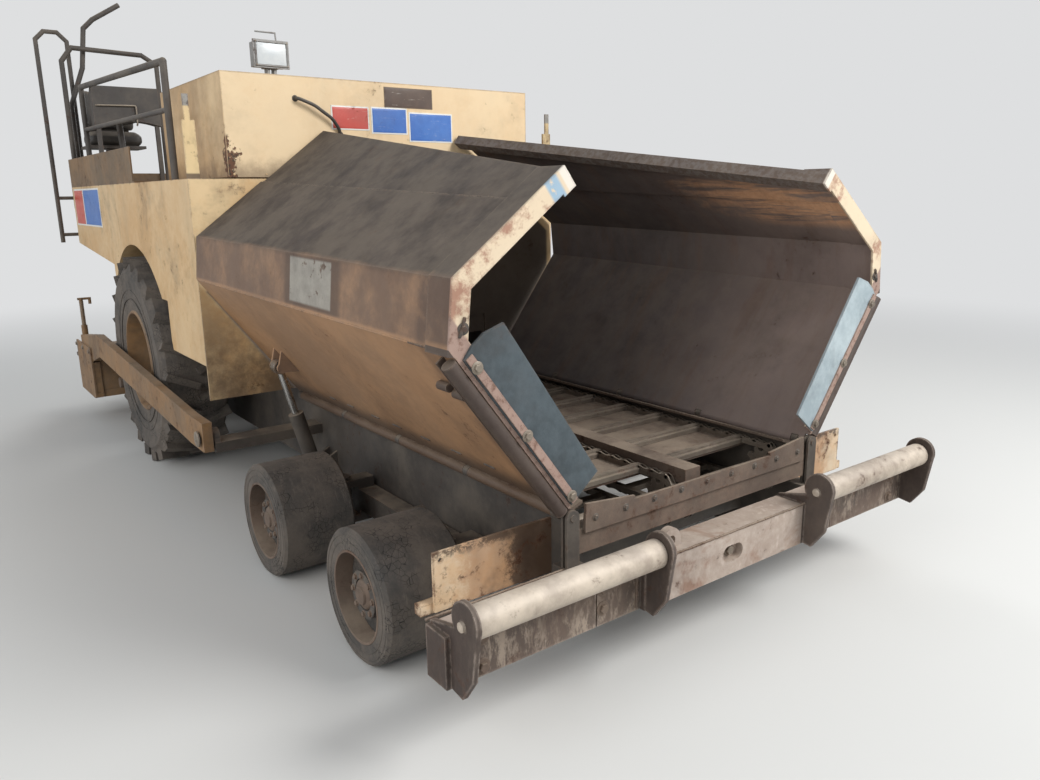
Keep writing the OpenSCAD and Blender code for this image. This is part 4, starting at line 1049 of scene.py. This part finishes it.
@dataclass
class Wheel:
    """Pieces on a wheel's outer face, laid out round its axle; heights count outwards from the face."""

    shop: Shop
    side: Side
    number: int = 0

    @property
    def node(self) -> str:
        """The wheel's node, which is also its body."""
        side = self.side.word
        return f"front_wheel_{side}_{self.number}" if self.number else f"rear_wheel_{side}"

    def put(self, word: str, slot: Slot, *parts: Shape) -> None:
        """Stands shapes on the wheel's outer face as one piece.

        Args:
            word: The piece's own word in its name.
            slot: The piece's slot.
            *parts: Shapes round the z axis.
        """
        low, high = self.shop.box(self.node)
        s = self.side.value
        centre = ((high if s > 0 else low)[0], *(low + high)[1:] / 2)
        self.shop.add(f"{self.node}_{word}", copies(joined(parts), [centre], (s, 0, 0)), slot, self.node)


@dataclass
class FrontWheel(Wheel):
    """Hub cap, nuts, rim and sidewall rings of one solid front wheel."""

    insets: tuple = (0.024, 0.050)
    rim: tuple = ((0.174, -0.006), (0.174, 0.001), (0.170, 0.002), (0.165, 0.001), (0.163, -0.069))
    hub: tuple = ((0.058, -0.0505), (0.058, -0.0365), (0.052, -0.0285), (0.036, -0.0245), (0.033, -0.0165),
                  (TIP, -0.0135))

    def build(self) -> None:
        """Makes the wheel's pieces."""
        low, high = self.shop.box(self.node)
        radius = (high[2] - low[2]) / 2
        self.put("rings", Slot.TYRE, *(ring(radius - inset, 0.0028, -0.0005, 96) for inset in self.insets))
        self.put("rim", Slot.RUSTY, lathe(self.rim, 80))
        nuts = copies(bolt(0.010, 1.35), circle(0.075, 8, -0.0301), UP)
        self.put("hub", Slot.RUSTY, lathe(self.hub, 48), nuts)


@dataclass
class RearWheel(Wheel):
    """Nuts, rim, valve and sidewall rings of one rear wheel."""

    rim: tuple = ((0.302, -0.045), (0.318, -0.028), (0.322, -0.019), (0.316, -0.013), (0.304, -0.012),
                  (0.296, -0.03), (0.262, -0.165))
    valve: tuple = ((0.255, 0.0, -0.165), (0.262, 0.0, -0.12), (0.275, 0.0, -0.09))
    walls: tuple = (0.395, 0.45, 0.53)

    def build(self) -> None:
        """Makes the wheel's pieces."""
        self.put("rim", Slot.WORN, lathe(self.rim, 96), tube_along(rounded(self.valve, 14), 0.006))
        self.put("nuts", Slot.BARE, copies(bolt(0.016, 1.4), circle(0.155, 10, -0.1995), UP))
        self.put("rings", Slot.TYRE, *(ring(r, 0.003, -0.006, 120) for r in self.walls))


@dataclass
class SlatConveyor:
    """Link plates and pins of the chains that carry one row of slats."""

    shop: Shop
    side: Side
    height: float = 0.490
    turn: float = 0.095
    front: float = 0.170
    back: float = 4.298
    chains: tuple = (0.062, 0.582)
    pitch: float = 0.075

    def loop(self, count: int) -> tuple[Array, Array]:
        """Finds even places round the chain's loop: two straight runs and a half turn at each end.

        Args:
            count: Number of places.

        Returns:
            Places (y, z) and the directions along the chain.
        """
        run, arc = self.back - self.front, np.pi * self.turn
        d = np.arange(count) / count * 2 * (run + arc)
        angle = (np.clip(d - run, 0, arc) + np.clip(d - 2 * run - arc, 0, arc)) / self.turn
        base = self.front + np.clip(d, 0, run) - np.clip(d - run - arc, 0, run)
        at = np.stack([base + self.turn * np.sin(angle), self.height + self.turn * np.cos(angle)], -1)
        return at, np.stack([np.cos(angle), -np.sin(angle)], -1)

    def link(self) -> Shape:
        """Makes a waisted link plate, whose half width is 9 + 4 cos(2 pi s) mm along its length.

        Returns:
            Points (along, across, height) and faces.
        """
        s = np.linspace(0, 1, 9)
        half = 0.009 + 0.004 * np.cos(2 * np.pi * s)
        half[[0, -1]] = 0.005
        edge = np.stack([(s - 0.5) * self.pitch * 1.25, half], -1)
        outline = np.concatenate([edge, edge[::-1] * [1, -1]])
        rim = [np.column_stack([outline * k, np.full(len(outline), h)])
               for k, h in ((0.02, -0.003), (1, -0.003), (1, 0.003), (0.02, 0.003))]
        return np.concatenate(rim), grid_faces(4, len(outline), closed_cols=True)[:, ::-1]

    def build(self) -> None:
        """Makes links and pins on both chains of this side."""
        count = 2 * round((self.back - self.front + np.pi * self.turn) / self.pitch)
        at, way = self.loop(count)
        verts, faces = self.link()
        across = way[:, None, ::-1] * [-1, 1]
        flat = at[:, None] + verts[:, :1] * way[:, None] + verts[:, 1:2] * across
        faces = repeated(faces, count, len(verts))
        parts = []
        for x in (chain + lane for chain in self.chains for lane in (-0.0105, 0.0105)):
            wide = np.broadcast_to(x + verts[:, 2:], (*flat.shape[:2], 1))
            parts.append((np.concatenate([wide, flat], -1).reshape(-1, 3), faces))
        pin = lathe([(TIP, -0.0145), (0.006, -0.0145), (0.006, 0.0135), (TIP, 0.0145)], 8)
        spots = np.concatenate([np.column_stack([np.full(count, x), at]) for x in self.chains])
        verts, faces = joined([*parts, copies(pin, spots, (1, 0, 0))])
        if self.side is Side.RIGHT:
            verts, faces = verts * [-1, 1, 1], faces[:, ::-1]
        self.shop.add(f"chain_links_{self.side.word}", (verts, faces), Slot.BARE)


@dataclass
class SignPlate:
    """Blank enamel plate with a pale frame, bowed a little."""

    shop: Shop
    name: str
    tone: str
    centre: tuple
    size: tuple[float, float]
    axis: tuple
    border: float

    def steps(self, span: float, count: int) -> Array:
        """Spaces grid lines over a span, close together at the rim and at the frame's inner edge.

        Args:
            span: Width or height of the plate.
            count: Lines inside the frame.

        Returns:
            Places of the lines.
        """
        near = np.array([0, 0.001, self.border - 0.0004, self.border + 0.0004])
        return np.concatenate([near, np.linspace(0.02, span - 0.02, count), span - near[::-1]])

    def build(self) -> None:
        """Makes the plate; its attribute "field" is 1 inside the frame and 0 on it."""
        wide, high = self.size
        s, t = self.steps(wide, 12)[:, None], self.steps(high, 8)[None, :]
        right = np.cross(UP, self.axis)
        rim = np.minimum(np.minimum(s, wide - s), np.minimum(t, high - t))
        field = rim > self.border
        lift = 0.0022 * (rim > 0) + 0.0009 * np.sin(2.2 * s / wide + 1) * np.sin(3 * t / high) * field
        start = np.asarray(self.centre, float) - right * wide / 2 - np.array([0, 0, high / 2])
        points = start + right * s[..., None] + np.array(UP) * t[..., None] + lift[..., None] * self.axis
        shape = points.reshape(-1, 3), grid_faces(*rim.shape)[:, ::-1]
        obj = self.shop.add(self.name, shape, Slot.YELLOW, finish=f"sign_{self.tone}")
        values = field.astype(np.float32).ravel()
        obj.data.attributes.new("field", "FLOAT", "POINT").data.foreach_set("value", values)


@dataclass
class Hood:
    """Blank signs, notice plate, black rod and rivets of the engine hood and the body's side."""

    shop: Shop

    def build(self) -> None:
        """Makes the hood's pieces on its front plane."""
        low, high = self.shop.box("engine_hood")
        y, side = low[1], self.shop.box("side_bodies")[0][0]
        outwards = (-1, 0, 0)
        for sign in (("hood_sign_1", "red", (-0.254, y, 2.072), (0.224, 0.125), FORWARD, 0.008),
                     ("hood_sign_2", "blue", (-0.017, y, 2.066), (0.226, 0.143), FORWARD, 0.008),
                     ("hood_sign_3", "blue", (0.250, y, 2.038), (0.290, 0.163), FORWARD, 0.008),
                     ("hood_notice_plate", "brown", (0.110, y, 2.192), (0.309, 0.108), FORWARD, 0.004),
                     ("side_sign_blue", "blue", (side, 4.75, 1.605), (0.56, 0.27), outwards, 0.012),
                     ("side_sign_red", "red", (side, 5.2075, 1.605), (0.345, 0.27), outwards, 0.012)):
            SignPlate(self.shop, *sign).build()
        bend = [(-0.560, y + 0.004, 2.157), (-0.556, y - 0.030, 2.156), (-0.470, y - 0.034, 2.125),
                (-0.372, y - 0.030, 2.062), (-0.330, y - 0.018, 2.010), (-0.318, y + 0.004, 1.985)]
        self.shop.add("hood_rod", tube_along(rounded(bend, 60, 8), 0.009, 14), Slot.PLASTIC)
        grommets = copies(ring(0.0125, 0.004), [(-0.560, y, 2.157), (-0.318, y, 1.985)], FORWARD)
        self.shop.add("hood_rod_grommets", grommets, Slot.PLASTIC)
        rivet = lathe([(0.006, 0), (0.0055, 0.0018), (0.003, 0.0032), (TIP, 0.0036)], 12)
        spots = [(x, y, low[2] + 0.022) for x in np.linspace(low[0] + 0.03, high[0] - 0.03, 12)]
        self.shop.add("hood_rivets", copies(rivet, spots, FORWARD), Slot.YELLOW)
        folds = [tube_along([(x, y + 0.001, low[2] + 0.010), (x, y + 0.001, high[2] - 0.004)], 0.0016, 6)
                 for x in (low[0] + 0.002, high[0] - 0.002)]
        self.shop.add("hood_folds", joined(folds), Slot.YELLOW)


@dataclass
class WorkLamp:
    """Glass, rim, screws and fins of the lamp on the hood."""

    shop: Shop
    foot: float = 0.032
    top: float = 0.166
    back: float = 0.080
    glass_inset: float = 0.015
    rim_inset: float = 0.011

    def build(self) -> None:
        """Makes the lamp's pieces from its CAD box."""
        low, high = self.shop.box("work_lamp")
        x0, x1, y = low[0], high[0], low[1]
        z0, z1 = low[2] + self.foot, low[2] + self.top
        d = self.glass_inset
        glass = plate(*facing(x0 + d, x1 - d, y, z0 + d, z1 - d), 0.002, bow=0.003)
        self.shop.add("lamp_glass", glass, Slot.LAMP, finish="lamp_glass")
        d = self.rim_inset
        corners = facing(x0 + d, x1 - d, y - 0.002, z0 + d, z1 - d)
        rim = rounded([*corners, corners[0]], 81, 1)
        self.shop.add("lamp_rim", tube_along(rim, 0.0045, 8), Slot.LAMP)
        self.shop.add("lamp_screws", copies(bolt(0.0035), corners - [0, 0.003, 0], FORWARD), Slot.BARE)
        fins = [plate(*facing(x1 - 0.02, x0 + 0.02, y + self.back, z - 0.002, z + 0.002), 0.012, cell=0.05)
                for z in np.linspace(z0 + 0.02, z1 - 0.02, 7)]
        self.shop.add("lamp_fins", joined(fins), Slot.LAMP)


@dataclass
class Platform:
    """Controls on the console, tread bars on the plate and the bent rod."""

    shop: Shop
    cell: float = 0.05

    def controls(self, low: Array, high: Array) -> Shape:
        """Makes levers with knobs and gauge bezels on the sloping panel.

        Args:
            low: The console's lowest corner.
            high: The console's highest corner.

        Returns:
            The controls as one shape.
        """
        y, z = low[1] + 0.070, high[2] - 0.036
        slope = (0.0, 0.66, 0.75)
        xs = np.linspace(low[0] + 0.05, high[0] - 0.05, 7)
        knob = [(TIP, 0.040), (0.008, 0.043), (0.011, 0.051), (0.008, 0.059), (TIP, 0.062)]
        stem = [(0.007, 0), (0.004, 0.006), (0.0035, 0.045), (TIP, 0.046)]
        lever = joined([lathe(stem, 12), lathe(knob, 16)])
        bezel = lathe([(0.026, 0), (0.026, 0.008), (0.022, 0.011), (0.020, 0.006), (TIP, 0.0055)], 32)
        return joined([copies(lever, [(x, y + 0.022, z - 0.018) for x in xs], slope),
                       copies(bezel, [(x, y - 0.012, z + 0.014) for x in xs[1::2]], slope)])

    def tread(self, low: Array, high: Array) -> Shape:
        """Lays out the raised bars of the chequer plate, in two slants by turns.

        Args:
            low: Lowest corner of the plate.
            high: Highest corner of the plate.

        Returns:
            The bars as one shape.
        """
        gx, gy = np.meshgrid(*(np.arange(low[k] + self.cell, high[k] - 0.04, self.cell) for k in (0, 1)))
        turn = np.where(np.indices(gx.shape).sum(0).reshape(-1, 1) % 2, np.pi / 4, -np.pi / 4)
        s = np.array([[-1.0], [-0.6], [0.6], [1.0]])
        half = np.array([[0.0008], [0.0030], [0.0030], [0.0008]])
        k = np.array([-1, 0, 1])
        along, across, up = (a.ravel() for a in np.broadcast_arrays(s * 0.016, half * k, 0.0016 * (k == 0)))
        x = gx.reshape(-1, 1) + along * np.cos(turn) - across * np.sin(turn)
        y = gy.reshape(-1, 1) + along * np.sin(turn) + across * np.cos(turn)
        points = np.stack(np.broadcast_arrays(x, y, high[2] + up), -1).reshape(-1, 3)
        return points, repeated(grid_faces(4, 3), turn.size, up.size)

    def build(self) -> None:
        """Makes the platform's pieces."""
        low, high = self.shop.box("console")
        self.shop.add("console_controls", self.controls(low, high), Slot.PLASTIC)
        y, z = low[1] - 0.012, high[2]
        bent = [(-1.060, y + 0.014, z - 0.131), (-1.055, y, z - 0.131), (-0.800, y, z - 0.124),
                (-0.803, y, z - 0.253), (-0.803, y + 0.014, z - 0.256)]
        self.shop.add("console_rod", tube_along(rounded(bent, 70, 6), 0.006), Slot.BARE)
        low, high = self.shop.box("deck")
        start = (low[0] + 0.02, self.shop.box("engine_hood")[1][1] + 0.02)
        end = (high[0] - 0.02, high[1] - 0.02, self.shop.box("seat_base")[0][2])
        self.shop.add("deck_tread", self.tread(start, end), Slot.WORN)


@dataclass
class Cushion:
    """Padded vinyl cushion: a rounded block blown up by cloth pressure."""

    shop: Shop
    name: str
    low: Array
    high: Array
    shrink: float = 0.012
    cap: float = 0.022
    cell: float = 0.011
    power: int = 8
    pressure: float = 4.0
    frames: int = 20

    def block(self) -> Shape:
        """Makes a closed block whose faces come from six grids pushed on to a superellipsoid.

        With c on the unit cube, the point is half size times c / (sum |c|^power)^(1/power).

        Returns:
            Places and quads of the closed block, smaller than its room by the shrink at each side.
        """
        half = (self.high - self.low) / 2 - self.shrink
        counts = np.maximum(4, (2 * half / self.cell).astype(int))
        sides = []
        for k in range(3):
            i, j = (k + 1) % 3, (k + 2) % 3
            gi, gj = np.meshgrid(*(np.linspace(-1, 1, counts[m]) for m in (i, j)), indexing="ij")
            for sign in (-1, 1):
                c = np.zeros((*gi.shape, 3))
                c[..., i], c[..., j], c[..., k] = gi, gj, sign
                sides.append((c.reshape(-1, 3), grid_faces(*gi.shape)[:, ::-sign]))
        verts, faces = joined(sides)
        _, first, back = np.unique(np.round(verts, 6), axis=0, return_index=True, return_inverse=True)
        verts = verts[first] / (np.abs(verts[first]) ** self.power).sum(1, keepdims=True) ** (1 / self.power)
        return verts * half + (self.low + self.high) / 2, back.ravel()[faces]

    @staticmethod
    def places(mesh: bpy.types.Mesh) -> Array:
        """Reads the places of a mesh's vertices.

        Args:
            mesh: The mesh.

        Returns:
            The places, shaped (count, 3).
        """
        flat = np.empty(len(mesh.vertices) * 3, np.float32)
        mesh.vertices.foreach_get("co", flat)
        return flat.reshape(-1, 3).astype(float)

    def blown(self, obj: bpy.types.Object) -> None:
        """Runs the cloth under pressure for some frames and keeps the capped result.

        Args:
            obj: The block, which ends up with the blown shape.
        """
        start = self.places(obj.data)
        cloth = obj.modifiers.new("cloth", "CLOTH")
        cloth.settings.use_pressure = True
        cloth.settings.uniform_pressure_force = self.pressure
        cloth.settings.effector_weights.gravity = 0.0
        cloth.settings.quality = 5
        scene = bpy.context.scene
        for number in range(self.frames):
            scene.frame_set(number + 1)
        move = self.places(obj.evaluated_get(bpy.context.evaluated_depsgraph_get()).data) - start
        obj.modifiers.remove(cloth)
        scene.frame_set(1)
        size = np.linalg.norm(move, axis=1, keepdims=True)
        kept = start + move * np.minimum(1, self.cap / np.maximum(size, 1e-9))
        obj.data.vertices.foreach_set("co", kept.astype(np.float32).ravel())

    def build(self) -> bpy.types.Object:
        """Makes the cushion.

        Returns:
            The cushion.
        """
        obj = self.shop.add(self.name, self.block(), Slot.SEAT)
        self.blown(obj)
        finer = obj.modifiers.new("finer", "SUBSURF")
        finer.levels = finer.render_levels = 1
        return obj


@dataclass
class Screed:
    """Bolts, hatch handles and spindle threads of the screed.

    A spindle is its length, its radius and the rise of one turn of its thread.
    """

    shop: Shop
    bolts_y: tuple = (0.04, 0.28, 0.52)
    spindle: tuple[float, float, float] = (0.185, 0.0142, 0.009)
    spindle_x: float = 1.236
    hatches_x: tuple = (-0.555, -0.185, 0.185, 0.555)

    def thread(self, centre: tuple) -> Shape:
        """Winds a screw thread: a tube along (r cos a, r sin a, pitch a / 2 pi).

        Args:
            centre: Foot of the spindle.

        Returns:
            The thread as one shape.
        """
        length, radius, pitch = self.spindle
        a = np.linspace(0, 2 * np.pi * length / pitch, int(length / pitch * 16))
        path = np.stack([radius * np.cos(a), radius * np.sin(a), a / (2 * np.pi) * pitch], -1)
        return tube_along(path + np.asarray(centre, float), 0.0022, 6)

    def build(self) -> None:
        """Makes the screed's pieces."""
        low, high = self.shop.box("end_gates")
        spots = np.array([(s * high[0], low[1] + y, high[2] - 0.03) for s in (-1, 1) for y in self.bolts_y])
        bolts = copies(bolt(0.014), spots, np.sign(spots) * [1, 0, 0])
        self.shop.add("end_gate_bolts", bolts, Slot.BARE, "screed")
        arm_end = self.shop.box("tow_arms")[1][1]
        threads = [self.thread((s * self.spindle_x, arm_end - 0.060, 0.722)) for s in (-1, 1)]
        self.shop.add("crank_threads", joined(threads), Slot.BARE, "screed")
        y = self.shop.box("screed_box")[0][1] + 0.20
        loops = [facing(x - 0.06, x + 0.06, y, 0.559, 0.593)[[0, 3, 2, 1]] for x in self.hatches_x]
        handles = joined([tube_along(rounded(loop, 40, 5), 0.006) for loop in loops])
        self.shop.add("hatch_handles", handles, Slot.BARE, "screed")


@dataclass
class Arms:
    """Cap on each tow pin and each steering pin."""

    shop: Shop
    tow_cap: tuple = ((0.040, 0), (0.040, 0.006), (0.034, 0.009), (0.012, 0.009), (0.010, 0.013),
                      (TIP, 0.0135))
    tow_pin: tuple[float, float] = (0.060, 0.500)
    steering_cap: tuple = ((0.034, 0), (0.034, 0.006), (0.028, 0.010), (TIP, 0.011))
    steering_x: float = 0.800

    def build(self) -> None:
        """Makes the caps on the pins' ends."""
        start, out = self.shop.box("tow_arms")[0][1], self.shop.box("main_frame")[1][0]
        spots = [(s * out, start + self.tow_pin[0], self.tow_pin[1]) for s in (-1, 1)]
        caps = copies(lathe(self.tow_cap, 40), spots, [(-1, 0, 0), (1, 0, 0)])
        self.shop.add("tow_pin_caps", caps, Slot.BARE)
        cap = lathe(self.steering_cap, 32)
        for side, number in ((side, number) for side in Side for number in (1, 2)):
            node = f"knuckle_{side.word}_{number}"
            low, high = self.shop.box(node)
            spot = (side.value * self.steering_x, (low[1] + high[1]) / 2, high[2])
            self.shop.add(f"{node}_cap", copies(cap, [spot], UP), Slot.DARK, node)


@dataclass(frozen=True)
class PhotoCamera:
    """The photograph's camera, solved in metres from the hopper's front plane."""

    place: tuple[float, float, float] = (-2.346, -1.958, 1.665)
    turns: tuple[float, float, float] = (36.914, 13.427, -0.779)
    lens: float = 28.53

    def build(self, front: float) -> None:
        """Adds the camera and makes it the scene's own; its turns are yaw, pitch and roll.

        Args:
            front: The hopper's front plane in the frame.
        """
        yaw, pitch, roll = (math.radians(a) for a in self.turns)
        look = Vector((math.sin(yaw) * math.cos(pitch), math.cos(yaw) * math.cos(pitch), -math.sin(pitch)))
        right = Vector((math.cos(yaw), -math.sin(yaw), 0.0))
        up = right.cross(look)
        turned = math.cos(roll) * right + math.sin(roll) * up
        upright = -math.sin(roll) * right + math.cos(roll) * up
        data = bpy.data.cameras.new("photo_camera")
        data.sensor_width, data.lens, data.clip_start = 36.0, self.lens, 0.05
        camera = bpy.data.objects.new("photo_camera", data)
        bpy.context.scene.collection.objects.link(camera)
        turn = Matrix((turned, upright, -look)).transposed().to_4x4()
        x, y, z = self.place
        camera.matrix_world = Matrix.Translation((x, y + front, z)) @ turn
        bpy.context.scene.camera = camera


@dataclass(frozen=True)
class Studio:
    """Pale floor, soft lights and a pale backdrop that only the camera's rays see.

    A light is its name, its place, the side of its square and its power in watts.
    """

    floor_colour: Colour = (206, 205, 201)
    sky: Colour = (222, 223, 224)
    clear: float = 4.0
    lost: float = 11.0
    half: float = 40.0
    air: tuple = (0.80, 0.85, 0.92, 1)
    air_strength: float = 0.55
    aim: tuple[float, float, float] = (0, -1.2, 0.9)
    lights: tuple = (("key", (3.5, -7.5, 6.0), 4.0, 700.0), ("fill", (-6.5, -4.0, 4.0), 5.0, 200.0),
                     ("rim", (4.0, 6.5, 5.0), 4.0, 260.0), ("low", (-6.5, 2.5, 2.2), 3.0, 70.0))

    def floor(self) -> bpy.types.Object:
        """Makes the floor, which melts into the backdrop far from the machine.

        Returns:
            The floor.
        """
        h = self.half
        mesh = bpy.data.meshes.new("floor")
        mesh.from_pydata([(-h, -h, 0), (h, -h, 0), (h, h, 0), (-h, h, 0)], [], [(0, 1, 2, 3)])
        t = ShaderTree("floor")
        t.feed(t.shader.inputs["Base Color"], linear(self.floor_colour))
        t.feed(t.shader.inputs["Roughness"], t.rough)
        away = t.wire("VectorMath", {0: t.place}, "Value", operation="LENGTH").rise(self.clear, self.lost)
        haze = t.wire("Emission", {"Color": linear(self.sky), "Strength": 1.0})
        share = t.wire("LightPath", {}, "Is Camera Ray") * away
        t.feed(t.out.inputs[0], t.wire("MixShader", {0: share, 1: t.shader.outputs[0], 2: haze}))
        mesh.materials.append(t.material)
        return bpy.data.objects.new("floor", mesh)

    def lamp(self, name: str, place: tuple, size: float, power: float) -> bpy.types.Object:
        """Makes one soft square light that looks at the machine.

        Args:
            name: The light's name.
            place: Where it hangs.
            size: Side of the square.
            power: Power in watts.

        Returns:
            The light object.
        """
        data = bpy.data.lights.new(name, "AREA")
        data.energy, data.size = power, size
        lamp = bpy.data.objects.new(name, data)
        turn = (Vector(self.aim) - Vector(place)).to_track_quat("-Z", "Y").to_matrix().to_4x4()
        lamp.matrix_world = Matrix.Translation(place) @ turn
        return lamp

    def build(self) -> None:
        """Adds the floor, the lights and the world."""
        staged = [self.floor(), *(self.lamp(*light) for light in self.lights)]
        for obj in staged:
            bpy.context.scene.collection.objects.link(obj)
        world = bpy.data.worlds.new("studio")
        world.use_nodes = True
        w = Nodes(world.node_tree)
        light = w.wire("Background", {0: self.air, 1: self.air_strength})
        backdrop = w.wire("Background", {0: linear(self.sky)})
        rays = w.node("LightPath", {}).outputs
        seen = w.most(*(rays[f"Is {word} Ray"] for word in ("Camera", "Glossy", "Transmission")))
        w.node("OutputWorld", {0: w.wire("MixShader", {0: seen, 1: light, 2: backdrop})})
        bpy.context.scene.world = world
        bpy.context.scene.view_settings.view_transform = "Standard"


def all_finishes(front: float) -> tuple[Finish, ...]:
    """Finishes of the slots and of single nodes that their slot alone can't give.

    Args:
        front: The hopper's front plane in the frame.

    Returns:
        The finishes, whose nodes are those that don't take their slot's own.
    """
    sign = dict(grime=0.25, rust=0.1, dust=0.15, wear=0.3, grain=0.3)
    tan = dict(base=(164, 125, 90), faded=(142, 109, 80), rough=0.6, grime=0.4, rust=0.2, dust=0.2, wear=0.6,
               front=front)
    return (
        Finish("yellow_paint", (200, 162, 112), (212, 182, 138), rust=0.25, dust=0.3),
        Finish("worn_paint", (142, 106, 66), (116, 92, 66), 0.65, grime=0.7, dust=0.4, wear=0.8),
        Finish("rusty_steel", (112, 92, 78), (88, 74, 64), 0.75, grime=0.45, rust=0.45,
               rust_colour=(110, 74, 52), wear=0.6, grain=1.6),
        Finish("dark_steel", (56, 52, 49), (74, 68, 62), 0.6, grime=0.4, rust=0.3, dust=0.4, wear=0.4),
        Finish("bare_steel", (140, 130, 116), (114, 103, 92), 0.5, 0.5, grime=0.45, rust=0.35, dust=0.35,
               wear_colour=(170, 162, 150)),
        Finish("rod_chrome", (196, 196, 194), (178, 176, 172), 0.24, 1.0, grime=0.25, rust=0.12, dust=0.15,
               grain=0.4),
        TyreRubber("solid_tyre", (60, 58, 56), (74, 70, 66), 0.85, dust=0.7, dust_colour=(114, 104, 94)),
        Finish("flap_rubber", (54, 63, 67), (76, 86, 91), 0.8, rust=0.1, dust=0.3, wear=0.3,
               dust_colour=(92, 100, 103)),
        Finish("seat_cover", (40, 39, 38), (54, 51, 48), grime=0.2, rust=0.0, dust=0.35, wear=0.3, grain=0.5),
        Finish("lamp_shell", (150, 150, 148), (124, 124, 122), 0.45, 0.3, grime=0.3, rust=0.15, dust=0.3),
        Finish("black_plastic", (38, 37, 36), (52, 50, 48), 0.5, grime=0.2, rust=0.0, dust=0.4, wear=0.25,
               grain=0.5),
        Finish("lamp_glass", (186, 192, 194), (206, 208, 206), 0.18, grime=0.15, rust=0.0, dust=0.25,
               wear=0.0, grain=0.2),
        SignFace("sign_red", (184, 58, 44), (194, 78, 60), 0.4, **sign),
        SignFace("sign_blue", (40, 96, 172), (58, 112, 184), 0.4, **sign),
        SignFace("sign_brown", (68, 48, 35), (84, 60, 44), 0.5, **sign | {"grime": 0.3, "dust": 0.3},
                 frame_colour=(98, 80, 60)),
        WingPaint("wing_paint_left", side=Side.LEFT, nodes=("wing_left",), **tan),
        WingPaint("wing_paint_right", side=Side.RIGHT, nodes=("wing_right",), poster=(0.79, 1.15), **tan),
        HoodPaint("hood_paint", (208, 172, 124), (216, 188, 146), grime=0.25, rust=0.15, dust=0.25,
                  nodes=("engine_hood",)),
        GuardPaint("guard_paint", (216, 184, 146), (222, 202, 174), 0.6, grime=1.0, grime_colour=(58, 42, 33),
                   rust=0.6, rust_colour=(120, 74, 44), dust=0.2, wear=1.0, wear_colour=(96, 74, 60),
                   tone_scale=3.0, nodes=("front_guards",)),
        # Painted light: the far flap is the same rubber as the near one, given a pale lit tone.
        Finish("pale_flap", (172, 184, 187), (144, 157, 162), 0.75, rust=0.15, dust=0.3, wear=0.4,
               dust_colour=(150, 156, 158), nodes=("flap_left",)),
        BeamSteel("beam_steel", (184, 170, 158), (156, 139, 126), 0.7, grime=0.35, rust=0.35, dust=0.25,
                  rust_colour=(116, 78, 56), wear=0.8, wear_colour=(170, 156, 144), grain=1.6,
                  nodes=("push_beam",)),
        DeckPaint("deck_paint", (128, 98, 64), (104, 86, 64), 0.65, grime=0.75, rust=0.35, dust=0.4,
                  post=front + BODY_FRONT, nodes=("deck",)),
        BulkheadPaint("bulkhead_paint", (204, 166, 116), (214, 186, 142), 0.6, rust=0.3, dust=0.2, wear=0.6,
                      nodes=("bulkhead",)),
        Finish("roller_steel", (200, 186, 168), (164, 150, 135), 0.55, 0.15, grime=0.65,
               grime_colour=(92, 76, 64), rust=0.35, dust=0.25, dust_colour=(200, 190, 178), wear=0.4,
               tone_scale=3.0, nodes=("roller_left", "roller_right")),
    )


def main() -> None:
    """Builds the finishes, the studio and every sub-assembly in order."""
    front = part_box("front_apron")[0].y + APRON_FACE
    finishes = all_finishes(front)
    shop = Shop(front, {finish.name: finish.build() for finish in finishes})
    by_node = {node: finish.name for finish in finishes for node in finish.nodes}
    for name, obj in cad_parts.items():
        for slot in obj.material_slots:
            slot.material = shop.finishes[by_node.get(name, slot.material.name.split(".")[0])]
    PhotoCamera().build(front)
    Studio().build()
    for side in Side:
        for assembly in (HopperWing(shop, side), SlatConveyor(shop, side), RearWheel(shop, side),
                         FrontWheel(shop, side, 1), FrontWheel(shop, side, 2)):
            assembly.build()
    for kind in (PushBeam, Hood, WorkLamp, Platform, Screed, Arms):
        kind(shop).build()
    low, high = shop.box("seat_cushions")
    seat_end = np.array([high[0], high[1], low[2] + 0.095])
    back_start = np.array([low[0], high[1] - 0.075, low[2] + 0.105])
    cushions = [Cushion(shop, "seat_cushion", low, seat_end).build(),
                Cushion(shop, "seat_back", back_start, high).build()]
    for cushion in cushions:
        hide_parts("seat_cushions")
    LOG.info("%d pieces built", shop.pieces)


if __name__ == "__main__":
    main()
